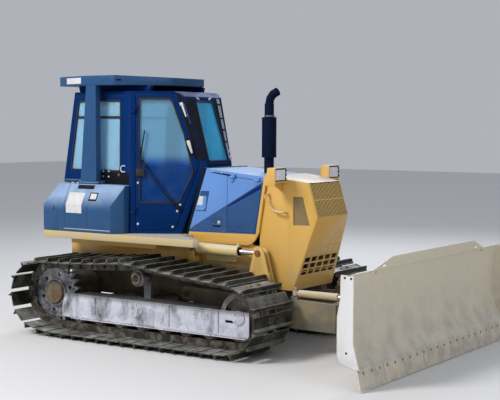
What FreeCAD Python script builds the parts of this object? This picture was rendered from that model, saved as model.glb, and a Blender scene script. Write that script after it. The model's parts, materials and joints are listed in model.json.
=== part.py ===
import FreeCAD
import Part
import math
import os

V = FreeCAD.Vector
os.makedirs("parts", exist_ok=True)

# layout
# lengths in mm; while drawing, X runs forward from near the sprocket axis, Y to the left, Z up from the ground
GAP = 6.0
SEAT = 0.3
REAR_X = -560.0
FRONT_X = 4222.0
MID_X = (REAR_X + FRONT_X) / 2.0

GAUGE_HALF = 895.0
SHOE_HALF = 350.0
SPROCKET_X, SPROCKET_Z, SPROCKET_R = -35.0, 442.0, 312.4
IDLER_X, IDLER_Z, IDLER_R = 2485.0, 400.0, 288.0
CARRIER_X, CARRIER_Z, CARRIER_R = 1178.0, 690.0, 86.0
RAIL_IN = 40.0
RAIL_OUT = 46.0
PLATE_T = 13.0
LUG_H = 46.0
SHOES = 41
TEETH = 23

HULL_HALF = 385.0
NOSE_HALF = 400.0
HOOD_HALF = 420.0
DECK_HALF = 930.0
DECK_BOTTOM, DECK_TOP = 1050.0, 1125.0

PUSH_X, PUSH_Z = 1450.0, 500.0
ARM_IN, ARM_OUT = 412.0, 482.0
LIFT_Y = 490.0
LIFT_REAR = (1550.0, 1000.0)
LIFT_PIN = (2390.0, 990.0)
ANGLE_X = 3500.0
ANGLE_Y = 450.0
ANGLE_Z = 610.0
ANGLE_REAR_X = 2800.0
ANGLE_PIN_X = ANGLE_X + 70.0
BAR_REAR, BAR_FRONT = ANGLE_X + 90.0, ANGLE_X + 180.0
TILT_X, TILT_Z = ANGLE_X + 260.0, 430.0
TILT_CYL_X, TILT_CYL_Z = TILT_X + 105.0, 850.0
TILT_REAR_Y, TILT_PIN_Y = 60.0, 700.0
BLADE_HALF = 1675.0

DOOR_YAW = 34.0
DOOR_LEAN = 0.05
DOOR_X, DOOR_Y = 900.0, 700.0
CAB_FLOOR, CAB_TOP = DECK_TOP + SEAT, 2655.0


# helpers
def box(x0, x1, y0, y1, z0, z1):
    return Part.makeBox(x1 - x0, y1 - y0, z1 - z0, V(x0, y0, z0))


def cyl(radius, length, at, axis):
    return Part.makeCylinder(radius, length, V(*at), V(*axis))


def cyl_y(radius, x, z, y0, y1):
    return Part.makeCylinder(radius, y1 - y0, V(x, y0, z), V(0, 1, 0))


def rod(radius, a, b):
    step = V(*b) - V(*a)
    return Part.makeCylinder(radius, step.Length, V(*a), step)


def prism(points, direction):
    wire = Part.makePolygon([V(*p) for p in points] + [V(*points[0])])
    return Part.Face(wire).extrude(V(*direction))


def side_prism(xz, y0, y1):
    return prism([(x, y0, z) for x, z in xz], (0, y1 - y0, 0))


def plan_prism(xy, z0, z1):
    return prism([(x, y, z0) for x, y in xy], (0, 0, z1 - z0))


def clip(shape, point, normal):
    # removes what lies on the side that the normal points to
    n = V(*normal)
    n.normalize()
    side = 9000.0
    block = Part.makeBox(side, side, side, V(-side / 2, -side / 2, 0))
    turn = FreeCAD.Rotation(V(0, 0, 1), n)
    block.Placement = FreeCAD.Placement(V(*point), turn)
    return shape.cut(block)


def mirror(shape):
    return shape.mirror(V(0, 0, 0), V(0, 1, 0))


def both(shape):
    return [shape, mirror(shape)]


def fuse(shapes):
    out = shapes[0]
    if len(shapes) > 1:
        out = out.fuse(shapes[1:])
    return out.removeSplitter()


def save(name, shapes):
    if not isinstance(shapes, list):
        shapes = [shapes]
    solids = []
    for shape in shapes:
        solids += shape.Solids
    whole = Part.makeCompound(solids) if len(solids) > 1 else solids[0]
    whole.translate(V(-MID_X, 0, 0))
    whole.exportStep("parts/" + name + ".step")


def plane_through(a, b, c):
    n = (V(*b) - V(*a)).cross(V(*c) - V(*a))
    n.normalize()
    return n


def rounded(points, radius, steps=3):
    # plan points of a convex outline with its corners rounded by short lines
    out = []
    count = len(points)
    for i in range(count):
        p = V(points[i][0], points[i][1], 0)
        a = V(points[i - 1][0], points[i - 1][1], 0)
        b = V(points[(i + 1) % count][0], points[(i + 1) % count][1], 0)
        u = (a - p)
        w = (b - p)
        u.normalize()
        w.normalize()
        half = math.acos(max(-1.0, min(1.0, u.dot(w)))) / 2.0
        reach = radius / math.tan(half)
        mid = u + w
        mid.normalize()
        centre = p + mid * (radius / math.sin(half))
        start = p + u * reach - centre
        end = p + w * reach - centre
        sweep = math.acos(max(-1.0, min(1.0, start.dot(end) / radius ** 2)))
        sign = 1.0 if start.cross(end).z > 0 else -1.0
        for k in range(steps + 1):
            t = sign * sweep * k / steps
            out.append((centre.x + start.x * math.cos(t) - start.y * math.sin(t),
                        centre.y + start.x * math.sin(t) + start.y * math.cos(t)))
    return out


# tracks
# the pin line: around the sprocket, over the carrier roller, around the idler, back along the ground
def pin_line():
    top_z = CARRIER_Z + CARRIER_R + RAIL_IN
    points = []
    for k in range(0, 61):
        a = math.radians(270.0 - k * 3.0)
        points.append((SPROCKET_X + SPROCKET_R * math.cos(a), SPROCKET_Z + SPROCKET_R * math.sin(a)))
    x0, z0 = points[-1]
    for k in range(1, 20):
        t = k / 20.0
        points.append((x0 + (CARRIER_X - x0) * t, z0 + (top_z - z0) * t - 60.0 * t * (1 - t)))
    points.append((CARRIER_X, top_z))
    x1, z1 = IDLER_X, IDLER_Z + IDLER_R
    for k in range(1, 20):
        t = k / 20.0
        points.append((CARRIER_X + (x1 - CARRIER_X) * t, top_z + (z1 - top_z) * t - 30.0 * t * (1 - t)))
    for k in range(0, 61):
        a = math.radians(90.0 - k * 3.0)
        points.append((IDLER_X + IDLER_R * math.cos(a), IDLER_Z + IDLER_R * math.sin(a)))
    points.append((IDLER_X - 200.0, IDLER_Z - IDLER_R - 7.0))
    points.append((SPROCKET_X + 200.0, IDLER_Z - IDLER_R - 7.0))
    return points


def walk(points, start, chord):
    # first point of the closed line that lies one chord away, going forward from start
    index, t = start
    count = len(points)
    ax = points[index][0] + (points[(index + 1) % count][0] - points[index][0]) * t
    az = points[index][1] + (points[(index + 1) % count][1] - points[index][1]) * t
    i = index
    while True:
        bx, bz = points[(i + 1) % count]
        if math.hypot(bx - ax, bz - az) >= chord:
            px, pz = points[i % count]
            lo, hi = (t if i == index else 0.0), 1.0
            for _ in range(40):
                mid = (lo + hi) / 2.0
                if math.hypot(px + (bx - px) * mid - ax, pz + (bz - pz) * mid - az) < chord:
                    lo = mid
                else:
                    hi = mid
            return i % count, hi, (i + 1) // count
        i += 1


def pins():
    points = pin_line()
    count = len(points)
    lo, hi = 120.0, 220.0
    for _ in range(40):
        pitch = (lo + hi) / 2.0
        at = (0, 0.0)
        gone = 0
        for _ in range(SHOES):
            i, t, turn = walk(points, at, pitch)
            if i < at[0]:
                gone += 1
            at = (i, t)
        if gone >= 1:
            hi = pitch
        else:
            lo = pitch
    at = (0, 0.0)
    out = []
    for _ in range(SHOES):
        i, t = at
        a, b = points[i], points[(i + 1) % count]
        out.append((a[0] + (b[0] - a[0]) * t, a[1] + (b[1] - a[1]) * t))
        i, t, turn = walk(points, at, lo)
        at = (i, t)
    return out, lo


PINS, PITCH = pins()
# along each shoe, as a share of the pitch from its rear pin, and height above the pin line
SHOE_SHAPE = (
    (0.03, RAIL_OUT), (0.03, RAIL_OUT + PLATE_T), (0.72, RAIL_OUT + PLATE_T),
    (0.79, RAIL_OUT + PLATE_T + LUG_H), (0.84, RAIL_OUT + PLATE_T + LUG_H),
    (0.91, RAIL_OUT + PLATE_T), (0.97, RAIL_OUT),
)


def shoe_frame(k):
    a, b = PINS[k], PINS[(k + 1) % SHOES]
    ux, uz = (b[0] - a[0]) / PITCH, (b[1] - a[1]) / PITCH
    return a, (ux, uz), (-uz, ux)


def ring(outer_shape, inner_height, y0, y1):
    outer, inner = [], []
    for k in range(SHOES):
        a, u, n = shoe_frame(k)
        for share, high in outer_shape:
            s = share * PITCH
            outer.append((a[0] + u[0] * s + n[0] * high, a[1] + u[1] * s + n[1] * high))
        for share in (0.08, 0.92):
            s = share * PITCH
            inner.append((a[0] + u[0] * s + n[0] * inner_height, a[1] + u[1] * s + n[1] * inner_height))
    return side_prism(outer, y0, y1).cut(side_prism(inner, y0 - 1, y1 + 1))


def track(side):
    centre = side * GAUGE_HALF
    shoes = ring(SHOE_SHAPE, RAIL_OUT - 4.0, centre - SHOE_HALF, centre + SHOE_HALF)
    pieces = [shoes]
    rail = ((0.05, RAIL_OUT - 2.0), (0.95, RAIL_OUT - 2.0))
    for y0, y1 in ((-88.0, -50.0), (50.0, 88.0)):
        pieces.append(ring(rail, -RAIL_IN + 2.0, centre + y0, centre + y1))
    return pieces[0].fuse(pieces[1:])


save("track_right", track(-1))
save("track_left", track(1))

# undercarriage
FRAME_OUT = GAUGE_HALF + 115.0
FRAME_IN = GAUGE_HALF - 115.0
FRAME_BOTTOM, FRAME_TOP = 205.0, 462.0
FRAME_REAR, FRAME_FRONT = 330.0, 2610.0


ROLLER_ROOF = 345.0
SIDE_PLATE = 14.0


def track_frame():
    beam = box(FRAME_REAR, 2190, -FRAME_OUT + 2, -FRAME_IN, ROLLER_ROOF, FRAME_TOP)
    cover = side_prism(((150, FRAME_BOTTOM), (FRAME_FRONT, FRAME_BOTTOM), (FRAME_FRONT, FRAME_TOP),
                        (200, FRAME_TOP), (150, 330)), -FRAME_OUT, -FRAME_OUT + SIDE_PLATE)
    lip = box(160, FRAME_FRONT, -FRAME_OUT - 16, -FRAME_OUT + 3, FRAME_BOTTOM, FRAME_BOTTOM + 22)
    inner = box(FRAME_REAR, FRAME_FRONT, -FRAME_IN - SIDE_PLATE, -FRAME_IN, FRAME_BOTTOM, FRAME_TOP)
    post = box(CARRIER_X - 45, CARRIER_X + 45, -FRAME_IN - 30, -FRAME_IN, FRAME_TOP - 5, CARRIER_Z + 40)
    cover = cover.cut(box(2325, 2490, -FRAME_OUT - 20, -FRAME_OUT + 20, 340, 366))
    cap = cyl_y(78, 1200, 362, -FRAME_OUT - 12, -FRAME_OUT + 5)
    shaft = cyl_y(70, 1200, 400, -FRAME_IN - 5, -HULL_HALF - SEAT)
    brace = cyl_y(58, 640, 402, -FRAME_IN - 5, -HULL_HALF - SEAT)
    return fuse([beam, cover, lip, inner, post, cap, shaft, brace])


save("track_frames", both(track_frame()))


def sprocket():
    # the pins lie in every second gap, the lowest one straight below the axis
    outline = []
    root, tip = SPROCKET_R - 32.0, SPROCKET_R + 20.0
    for k in range(TEETH):
        a = 270.0 + 360.0 / TEETH * (k + 0.5)
        for off, r in ((-4.8, root), (-2.0, tip), (2.0, tip), (4.8, root)):
            t = math.radians(a + off)
            outline.append((SPROCKET_X + r * math.cos(t), SPROCKET_Z + r * math.sin(t)))
    rim = side_prism(outline, -GAUGE_HALF - 26, -GAUGE_HALF + 26)
    disc = rim.cut(cyl_y(262, SPROCKET_X, SPROCKET_Z, -GAUGE_HALF - 40, -GAUGE_HALF - 6))
    for k in range(6):
        a = math.radians(60.0 * k + 18.0)
        disc = disc.cut(cyl_y(24, SPROCKET_X + 205 * math.cos(a), SPROCKET_Z + 205 * math.sin(a),
                              -GAUGE_HALF - 50, -GAUGE_HALF + 50))
    hub = cyl_y(150, SPROCKET_X, SPROCKET_Z, -GAUGE_HALF - 34, -GAUGE_HALF)
    nose = cyl_y(62, SPROCKET_X, SPROCKET_Z, -GAUGE_HALF - 62, -GAUGE_HALF - 30)
    return fuse([disc, hub, nose])


save("sprockets", both(sprocket()))


# the straight links lie lower between their pins than the pins themselves
LINK_SAG = IDLER_R - math.sqrt(IDLER_R ** 2 - (PITCH / 2.0) ** 2)


def idler():
    wheel = cyl_y(IDLER_R - LINK_SAG - RAIL_IN + 2 - SEAT, IDLER_X, IDLER_Z, -GAUGE_HALF - 86, -GAUGE_HALF + 86)
    flange = cyl_y(IDLER_R - 26, IDLER_X, IDLER_Z, -GAUGE_HALF - 42, -GAUGE_HALF + 42)
    for s in (-1, 1):
        hollow = cyl_y(190, IDLER_X, IDLER_Z, min(s * 40, s * 100) - GAUGE_HALF, max(s * 40, s * 100) - GAUGE_HALF)
        wheel = wheel.cut(hollow)
    hub = cyl_y(56, IDLER_X, IDLER_Z, -FRAME_OUT + SIDE_PLATE + SEAT, -FRAME_IN - SIDE_PLATE - SEAT)
    return fuse([wheel, flange, hub])


save("idlers", both(idler()))

ROLLER_XS = (355.0, 647.0, 939.0, 1231.0, 1523.0, 1815.0, 2107.0)


def bottom_rollers():
    out = []
    rail_z = IDLER_Z - IDLER_R - 7.0 + RAIL_IN
    radius = 86.0
    for x in ROLLER_XS:
        z = rail_z + radius + 1.0
        out.append(fuse([
            cyl_y(radius, x, z, -GAUGE_HALF - 84, -GAUGE_HALF + 84),
            cyl_y(radius + 14, x, z, -GAUGE_HALF - 44, -GAUGE_HALF + 44),
            cyl_y(24, x, z, -FRAME_OUT + SIDE_PLATE + SEAT, -FRAME_IN - SIDE_PLATE - SEAT),
        ]))
    return out


rollers = bottom_rollers()
rollers.append(fuse([
    cyl_y(CARRIER_R - 1.0, CARRIER_X, CARRIER_Z, -GAUGE_HALF - 86, -GAUGE_HALF + 60),
    cyl_y(46, CARRIER_X, CARRIER_Z, -GAUGE_HALF - 112, -FRAME_IN - 30 - SEAT),
]))
save("track_rollers", rollers + [mirror(r) for r in rollers])

# hull
hull = side_prism(((-250, 560), (-120, 400), (1900, 395), (2330, 560), (2330, 1048), (1410, 1048),
                   (1410, DECK_TOP - 12 - SEAT), (-155, DECK_TOP - 12 - SEAT), (-155, 1048), (-215, 1048), (-250, 980)),
                  -HULL_HALF, HULL_HALF)
hull_parts = [hull]
for s in (-1, 1):
    y0, y1 = sorted((s * (HULL_HALF - 5), s * (GAUGE_HALF - 26 - SEAT)))
    hull_parts.append(cyl_y(200, SPROCKET_X, SPROCKET_Z, *sorted((s * (HULL_HALF - 5), s * (GAUGE_HALF - 150)))))
    hull_parts.append(cyl_y(140, SPROCKET_X, SPROCKET_Z, y0, y1))
    hull_parts.append(cyl_y(70, PUSH_X, PUSH_Z, *sorted((s * (HULL_HALF - 5), s * (ARM_IN - 2)))))
    hull_parts.append(cyl_y(34.9, PUSH_X, PUSH_Z, *sorted((s * (HULL_HALF - 5), s * (ARM_OUT + 14)))))
    for y, t in ((LIFT_Y - 45, 15), (LIFT_Y + 30, 15)):
        ear = side_prism(((LIFT_REAR[0] - 50, 815), (LIFT_REAR[0] + 34, 815), (LIFT_REAR[0] + 36, LIFT_REAR[1] - 40),
                          (LIFT_REAR[0] + 32, LIFT_REAR[1] + 25), (LIFT_REAR[0] + 12, LIFT_REAR[1] + 42),
                          (LIFT_REAR[0] - 20, LIFT_REAR[1] + 42), (LIFT_REAR[0] - 50, LIFT_REAR[1] + 10)),
                         *sorted((s * y, s * (y + t))))
        hull_parts.append(ear)
    hull_parts.append(box(LIFT_REAR[0] - 50, LIFT_REAR[0] + 34,
                          *sorted((s * (HULL_HALF - 5), s * (LIFT_Y + 45))), 815, 905))
    hull_parts.append(cyl_y(24, LIFT_REAR[0], LIFT_REAR[1], *sorted((s * (LIFT_Y - 52), s * (LIFT_Y + 56)))))
    hull_parts.append(box(60, 1250, *sorted((s * (HULL_HALF - 5), s * 760)), 985,
                          DECK_TOP - 12 - SEAT))
hull_parts.append(box(-330, -180, -330, 330, 560, 960))
hull = fuse(hull_parts)
for dy in (-220.0, 220.0):
    for z in (640.0, 880.0):
        hull = hull.cut(cyl(13.0, 60, (-331, dy, z), (1, 0, 0)))
save("hull", hull)

drawbar = fuse([box(-540, -330 - SEAT, -90, 90, 500, 540), box(-380, -330 - SEAT, -90, 90, 430, 610),
                cyl(90, 40, (-470, 0, 500), (0, 0, 1))])
drawbar = drawbar.cut(cyl(24, 60, (-480, 0, 490), (0, 0, 1)))
save("drawbar", drawbar)

engine = fuse([box(1640, 2120, -250, 250, 1048 + SEAT, 1560), box(1700, 2240, -180, 180, 1500, 1660)])
save("engine_block", engine)
NOSE_FOOT = (2730.0, 620.0)
NOSE_SKIN = 12.0
save("radiator_core", box(2370, 2450, -330, 330, NOSE_FOOT[1] + NOSE_SKIN + SEAT, 1640))

# nose
NOSE_KINK = (2965.0, 1363.0)
NOSE_TIP = (2858.0, 1715.0)
NOSE_BACK_TOP = (2405.0, 1782.0)
NOSE_TOP_HALF = 312.0


def nose_body(t):
    body = box(2180 - 50, 3100, -NOSE_HALF + t, NOSE_HALF - t, NOSE_FOOT[1] + (0 if t == 0 else t), 1900)
    k, f, p, b = NOSE_KINK, NOSE_FOOT, NOSE_TIP, NOSE_BACK_TOP
    low = plane_through((f[0], 0, f[1]), (k[0], 0, k[1]), (f[0], 100, f[1]))
    if low.x < 0:
        low = low * -1
    high = plane_through((k[0], 0, k[1]), (p[0], 0, p[1]), (k[0], 100, k[1]))
    if high.x < 0:
        high = high * -1
    top = plane_through((p[0], 0, p[1]), (b[0], 0, b[1]), (p[0], 100, p[1]))
    if top.z < 0:
        top = top * -1
    body = clip(body, tuple(V(f[0], 0, f[1]) - low * t), tuple(low))
    body = clip(body, tuple(V(p[0], 0, p[1]) - high * t), tuple(high))
    body = clip(body, tuple(V(p[0], 0, p[1]) - top * t), tuple(top))
    for s in (-1, 1):
        lower = plane_through((f[0], s * (NOSE_HALF - 4), f[1]), (k[0], s * NOSE_TOP_HALF, k[1]),
                              (2660, s * NOSE_HALF, 1363))
        upper = plane_through((p[0], s * NOSE_TOP_HALF, p[1]), (k[0], s * NOSE_TOP_HALF, k[1]),
                              (2660, s * NOSE_HALF, 1600))
        for n, at in ((lower, (k[0], s * NOSE_TOP_HALF, k[1])), (upper, (p[0], s * NOSE_TOP_HALF, p[1]))):
            if n.y * s < 0:
                n = n * -1
            body = clip(body, tuple(V(*at) - n * t), tuple(n))
    return body


nose = nose_body(0.0).cut(nose_body(NOSE_SKIN))
nose = clip(nose, (2294, 0, 1173), (-0.985, 0, 0.17))
nose = nose.cut(box(2000, 2330 + SEAT, -600, 600, 500, 1900))


def upper_face_point(t, y):
    k, p = NOSE_KINK, NOSE_TIP
    return (k[0] + (p[0] - k[0]) * t, y, k[1] + (p[1] - k[1]) * t)


def lower_face_point(t, y):
    f, k = NOSE_FOOT, NOSE_KINK
    return (f[0] + (k[0] - f[0]) * t, y, f[1] + (k[1] - f[1]) * t)


GRILLE_LOW, GRILLE_HIGH, GRILLE_HALF = 0.035, 0.975, 297.0
grille_hole = prism([upper_face_point(GRILLE_LOW, -GRILLE_HALF), upper_face_point(GRILLE_LOW, GRILLE_HALF),
                     upper_face_point(GRILLE_HIGH, GRILLE_HALF), upper_face_point(GRILLE_HIGH, -GRILLE_HALF)],
                    (80, 0, 80 * 107.0 / 352.0))
grille_hole.translate(V(-40, 0, -40 * 107.0 / 352.0))
nose = nose.cut(grille_hole)
LOUVRE = ((2722, 1285), (2890, 1285), (2812, 1573), (2715, 1573))
LOW_COLS, LOW_ROWS = 5, 3
for c in range(LOW_COLS):
    for r in range(LOW_ROWS):
        y0 = -323 + c * 134.0
        t0 = 0.205 + r * 0.088
        hole = prism([lower_face_point(t0, y0), lower_face_point(t0, y0 + 110),
                      lower_face_point(t0 + 0.070, y0 + 110), lower_face_point(t0 + 0.070, y0)], (80, 0, -25))
        hole.translate(V(-40, 0, 12))
        nose = nose.cut(hole)
for s in (-1, 1):
    y0, y1 = sorted((s * (NOSE_HALF - 90), s * (NOSE_HALF + 30)))
    nose = nose.cut(side_prism(LOUVRE, y0, y1))
save("nose_guard", nose)


def in_plane_frame(point_of, t0, t1, y_half, out, thick):
    a = V(*point_of(t0, -y_half))
    b = V(*point_of(t1, -y_half))
    u = b - a
    n = V(0, 1, 0).cross(u)
    n.normalize()
    if n.x < 0:
        n = n * -1
    return a + n * out, u, n * -thick


def mesh_panel():
    # the panel lies in the opening, a hair from its edges
    half = GRILLE_HALF - SEAT
    a, u, back = in_plane_frame(upper_face_point, GRILLE_LOW + 0.001, GRILLE_HIGH - 0.001, half, -4.0, 6.0)
    w = 2 * half
    outer = prism([tuple(a), tuple(a + V(0, w, 0)), tuple(a + V(0, w, 0) + u), tuple(a + u)], tuple(back))
    count = 16
    pitch = (w - 16.0) / count
    for band in range(2):
        lo = u * (0.03 + 0.485 * band)
        hi = u * (0.485 + 0.485 * band)
        for i in range(count):
            y0 = 8.0 + i * pitch + 5.0
            y1 = 8.0 + (i + 1) * pitch - 5.0
            p = [a + V(0, y0, 0) + lo, a + V(0, y1, 0) + lo, a + V(0, y1, 0) + hi, a + V(0, y0, 0) + hi]
            unit = V(back)
            unit.normalize()
            cut = prism([tuple(q - unit * 5.0) for q in p], tuple(unit * 20.0))
            outer = outer.cut(cut)
    return outer


louvres = []
for s in (-1, 1):
    y0, y1 = sorted((s * (NOSE_HALF - 110), s * NOSE_HALF))
    sheet = nose_body(NOSE_SKIN + SEAT).cut(nose_body(NOSE_SKIN + SEAT + 6))
    louvres.append(sheet.common(side_prism(((2707, 1272), (2906, 1272), (2824, 1586), (2700, 1586)), y0, y1)))
save("grilles", [mesh_panel()] + louvres)

# hood
HOOD_REAR_TOP = (1645.0, 1836.0)
HOOD_REAR_LOW = (1433.0, 1158.0)
HOOD_FRONT_TOP = (2392.0, 1768.0)
HOOD_FRONT_LOW = (2294.0, 1172.0)
SEAM_X = 1925.0
CREASE = ((1475.0, 1200.0), (2383.0, 1715.0))
HOOD_TOP_IN = 30.0
LID_TOP = 45.0


def hood_skin(t):
    body = side_prism((HOOD_REAR_LOW, HOOD_FRONT_LOW, HOOD_FRONT_TOP, HOOD_REAR_TOP),
                      -HOOD_HALF + t, HOOD_HALF - t)
    for s in (-1, 1):
        a = (CREASE[0][0], s * HOOD_HALF, CREASE[0][1])
        b = (CREASE[1][0], s * HOOD_HALF, CREASE[1][1])
        c = (HOOD_REAR_TOP[0], s * (HOOD_HALF - HOOD_TOP_IN), HOOD_REAR_TOP[1])
        n = plane_through(a, b, c)
        if n.y * s < 0:
            n = n * -1
        body = clip(body, tuple(V(*a) - n * t), tuple(n))
    return body


outer_hood = hood_skin(0.0)
inner_hood = hood_skin(18.0)
slope = (HOOD_FRONT_TOP[1] - HOOD_REAR_TOP[1]) / (HOOD_FRONT_TOP[0] - HOOD_REAR_TOP[0])
roof_cut = clip(inner_hood, (HOOD_REAR_TOP[0], 0, HOOD_REAR_TOP[1] - 18.0), (-slope, 0, 1))
shell = outer_hood.cut(roof_cut).cut(cyl(52 + SEAT, 200, (2178, 0, 1700), (0, 0, 1)))


def door_outline(grow):
    top0 = HOOD_REAR_TOP[1] + slope * (SEAM_X - HOOD_REAR_TOP[0])
    lean = (HOOD_FRONT_TOP[0] - HOOD_FRONT_LOW[0]) / (HOOD_FRONT_TOP[1] - HOOD_FRONT_LOW[1])
    low_z = 1180.0
    front_low_x = HOOD_FRONT_LOW[0] - 14 + lean * (low_z - HOOD_FRONT_LOW[1])
    front_top_x = HOOD_FRONT_TOP[0] - 14
    top1 = HOOD_REAR_TOP[1] + slope * (front_top_x - HOOD_REAR_TOP[0])
    g = grow
    return ((SEAM_X - g, low_z - g), (front_low_x + g, low_z - g),
            (front_top_x + g, top1 - LID_TOP + g), (SEAM_X - g, top0 - LID_TOP + g))


hood_gap = side_prism(door_outline(0.0), -600, 600)
hood_keep = side_prism(door_outline(-GAP), -600, 600)
doors = shell.common(hood_keep)
shell = shell.cut(hood_gap)
LID_AXIS_Y = HOOD_HALF + 10.0
LID_PIN = 4.0
LID_XS = (1990.0, 2300.0)


def hood_line(x):
    return HOOD_REAR_TOP[1] + slope * (x - HOOD_REAR_TOP[0])


def lid_bar(s, radius, x0, x1):
    drop = LID_TOP + GAP / 2.0
    return rod(radius, (x0, s * LID_AXIS_Y, hood_line(x0) - drop), (x1, s * LID_AXIS_Y, hood_line(x1) - drop))


for s, side in ((-1, "right"), (1, "left")):
    leaf = doors.common(box(1000, 3000, *sorted((0, s * 700)), 0, 3000))
    for x in LID_XS:
        top = hood_line(x) - LID_TOP
        high = box(x + 22, x + 42, *sorted((s * (HOOD_HALF - 20), s * (LID_AXIS_Y + 6))), top + 4, top + 25)
        low = box(x + 22, x + 42, *sorted((s * (HOOD_HALF + 1), s * (LID_AXIS_Y + 6))), top - 9, top + 8)
        shell = shell.fuse([high, low, lid_bar(s, LID_PIN, x - 20, x + 40)])
        strap = box(x - 20, x + 18, *sorted((s * (HOOD_HALF - 18), s * (HOOD_HALF + 6))), top - 50, top - 9)
        neck = box(x - 20, x + 18, *sorted((s * (HOOD_HALF + 1), s * (LID_AXIS_Y + 1))), top - 14, top - 2)
        leaf = leaf.fuse([strap, neck, lid_bar(s, LID_PIN + 4, x - 20, x + 18)])
        leaf = leaf.cut(lid_bar(s, LID_PIN + 0.05, x - 25, x + 25))
    save("hood_door_" + side, leaf)
# the front edge and the lower edge stay as a narrow rim on the fixed part
save("hood_shell", shell)

# yellow sill under the hood panels, flush with the nose
sill = []
for s in (-1, 1):
    y0, y1 = sorted((s * (NOSE_HALF + SEAT), s * (HOOD_HALF + 4)))
    piece = side_prism(((1500, 1049), (2180, 1052), (2240, 1070), (2286, 1110), (2330, 1190), (2400, 1620),
                        (2426, 1764), (HOOD_FRONT_TOP[0] + 1, HOOD_FRONT_TOP[1]),
                        (HOOD_FRONT_LOW[0] + 1, HOOD_FRONT_LOW[1] - SEAT),
                        (HOOD_REAR_LOW[0] + 4, HOOD_REAR_LOW[1] - SEAT), (1432, 1110)), y0, y1)
    sill.append(piece)
    sill.append(box(1500, 2240, *sorted((s * (HULL_HALF - 40), s * (NOSE_HALF + 2))), 1048 + SEAT, 1064))
sill_a = fuse([sill[0], sill[1]])
sill_b = fuse([sill[2], sill[3]])
save("hood_sills", [sill_a, sill_b])

bulkhead = side_prism(((1374, CAB_FLOOR), (1418, CAB_FLOOR), (1640, 1838), (1624, 1846), (1606, 1846)), -395, 395)
save("bulkhead", bulkhead)

exhaust = fuse([
    cyl(52, 230, (2178, 0, 1660 + SEAT), (0, 0, 1)),
    cyl(77.5, 425, (2178, 0, 1955), (0, 0, 1)),
    cyl(52, 80, (2178, 0, 1885), (0, 0, 1)),
    cyl(50, 150, (2178, 0, 2375), (0, 0, 1)),
])
# the bent end: short pieces along a bend, cut off at a slant
bend = [(2178 + 130 - 130 * math.cos(math.radians(t)), 0, 2522 + 130 * math.sin(math.radians(t))) for t in (0, 25, 50, 75)]
elbow = [rod(44, bend[i], bend[i + 1]) for i in range(3)]
elbow += [Part.makeSphere(44, V(*p)) for p in bend[1:3]]
tip = clip(fuse(elbow), (2178 + 92, 0, 2600), (1, 0, -0.35))
exhaust = fuse([exhaust, tip])
save("exhaust_stack", exhaust)

# cab
YAW = math.radians(DOOR_YAW)


CAB_NOSE, CAB_BROW = (1540.0, 1868.0), (1312.0, 2600.0)
CAB_SIDE = ((-160, CAB_FLOOR), (1322, CAB_FLOOR), CAB_NOSE, CAB_BROW, (1215, CAB_TOP), (-74, CAB_TOP),
            (-235, 1652), (-160, 1652))


def grown(outline, g):
    # an outline moved outward by g, corner by corner
    count = len(outline)
    out = []
    for i in range(count):
        p = outline[i]
        a, b = outline[i - 1], outline[(i + 1) % count]
        u = V(p[0] - a[0], p[1] - a[1], 0)
        w = V(b[0] - p[0], b[1] - p[1], 0)
        u.normalize()
        w.normalize()
        n1, n2 = V(u.y, -u.x, 0), V(w.y, -w.x, 0)
        m = n1 + n2
        m.normalize()
        k = g / max(0.2, m.dot(n1))
        out.append((p[0] + m.x * k, p[1] + m.y * k))
    return out


def cab_side_plane(s):
    n = plane_through((760, s * DOOR_Y, 1200), (-100, s * 590, 1200), (760, s * (DOOR_Y - 45), 2600))
    return n if n.y * s > 0 else n * -1


def cab_body(t):
    body = side_prism(grown(CAB_SIDE, -t), -DOOR_Y - 60, DOOR_Y + 60)
    for s in (-1, 1):
        side = cab_side_plane(s)
        body = clip(body, tuple(V(760, s * DOOR_Y, 1200) - side * t), tuple(side))
        n = door_normal(s)
        body = clip(body, tuple(V(DOOR_X, s * DOOR_Y, 1150) - n * t), tuple(n))
    return body


def door_normal(s):
    n = V(math.sin(YAW), s * math.cos(YAW), DOOR_LEAN)
    n.normalize()
    return n


def door_point(s, along, z):
    # a point of the door's outer face: metres along it from its rear edge, at a height
    shift = DOOR_LEAN * (z - 1150.0)
    x = DOOR_X + along * math.cos(YAW) - shift * math.sin(YAW)
    y = DOOR_Y - along * math.sin(YAW) - shift * math.cos(YAW)
    return V(x, s * y, z)


def on_door(s, outline, out, depth):
    n = door_normal(s)
    pts = [tuple(door_point(s, a, z) + n * out) for a, z in outline]
    return prism(pts, tuple(n * -depth))


# deck and boxes
deck_plan = ((-200, -DECK_HALF), (1860, -DECK_HALF), (1905, -885), (1600, -600), (1485, -570), (1485, 570),
             (1600, 600), (1905, 885), (1860, DECK_HALF), (-200, DECK_HALF))
deck = plan_prism(deck_plan, DECK_BOTTOM, DECK_TOP)
deck = deck.cut(plan_prism(((-160, -890), (1840, -890), (1580, -640), (1440, -600), (1440, 600),
                            (1580, 640), (1840, 890), (-160, 890)), DECK_BOTTOM - 1, DECK_TOP - 12))
deck = deck.cut(box(1425, 1700, -424, 424, 1000, 1200))
save("deck", deck)

BOX_REAR, BOX_FRONT = -232.0, 845.0
BOX_MID_Z, BOX_TOP_Z = 1420.0, 1645.0


def side_box():
    body = box(BOX_REAR, BOX_FRONT, -900, -640, DECK_TOP + SEAT, BOX_TOP_Z)
    body = clip(body, (0, -900, BOX_MID_Z), (0, -225, 118))
    body = clip(body, (BOX_REAR, 0, BOX_MID_Z), (-225, 0, 130))
    body = clip(body, (742, -900, 0), (1, -1, 0))
    return body


right_box = side_box().cut(cab_body(-SEAT))
tank = box(BOX_REAR, -160 - SEAT, -640 + SEAT, 640 - SEAT, DECK_TOP + SEAT, BOX_TOP_Z)
tank = clip(tank, (BOX_REAR, 0, BOX_MID_Z), (-225, 0, 130))
save("side_boxes", [right_box, mirror(right_box), tank])

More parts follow.
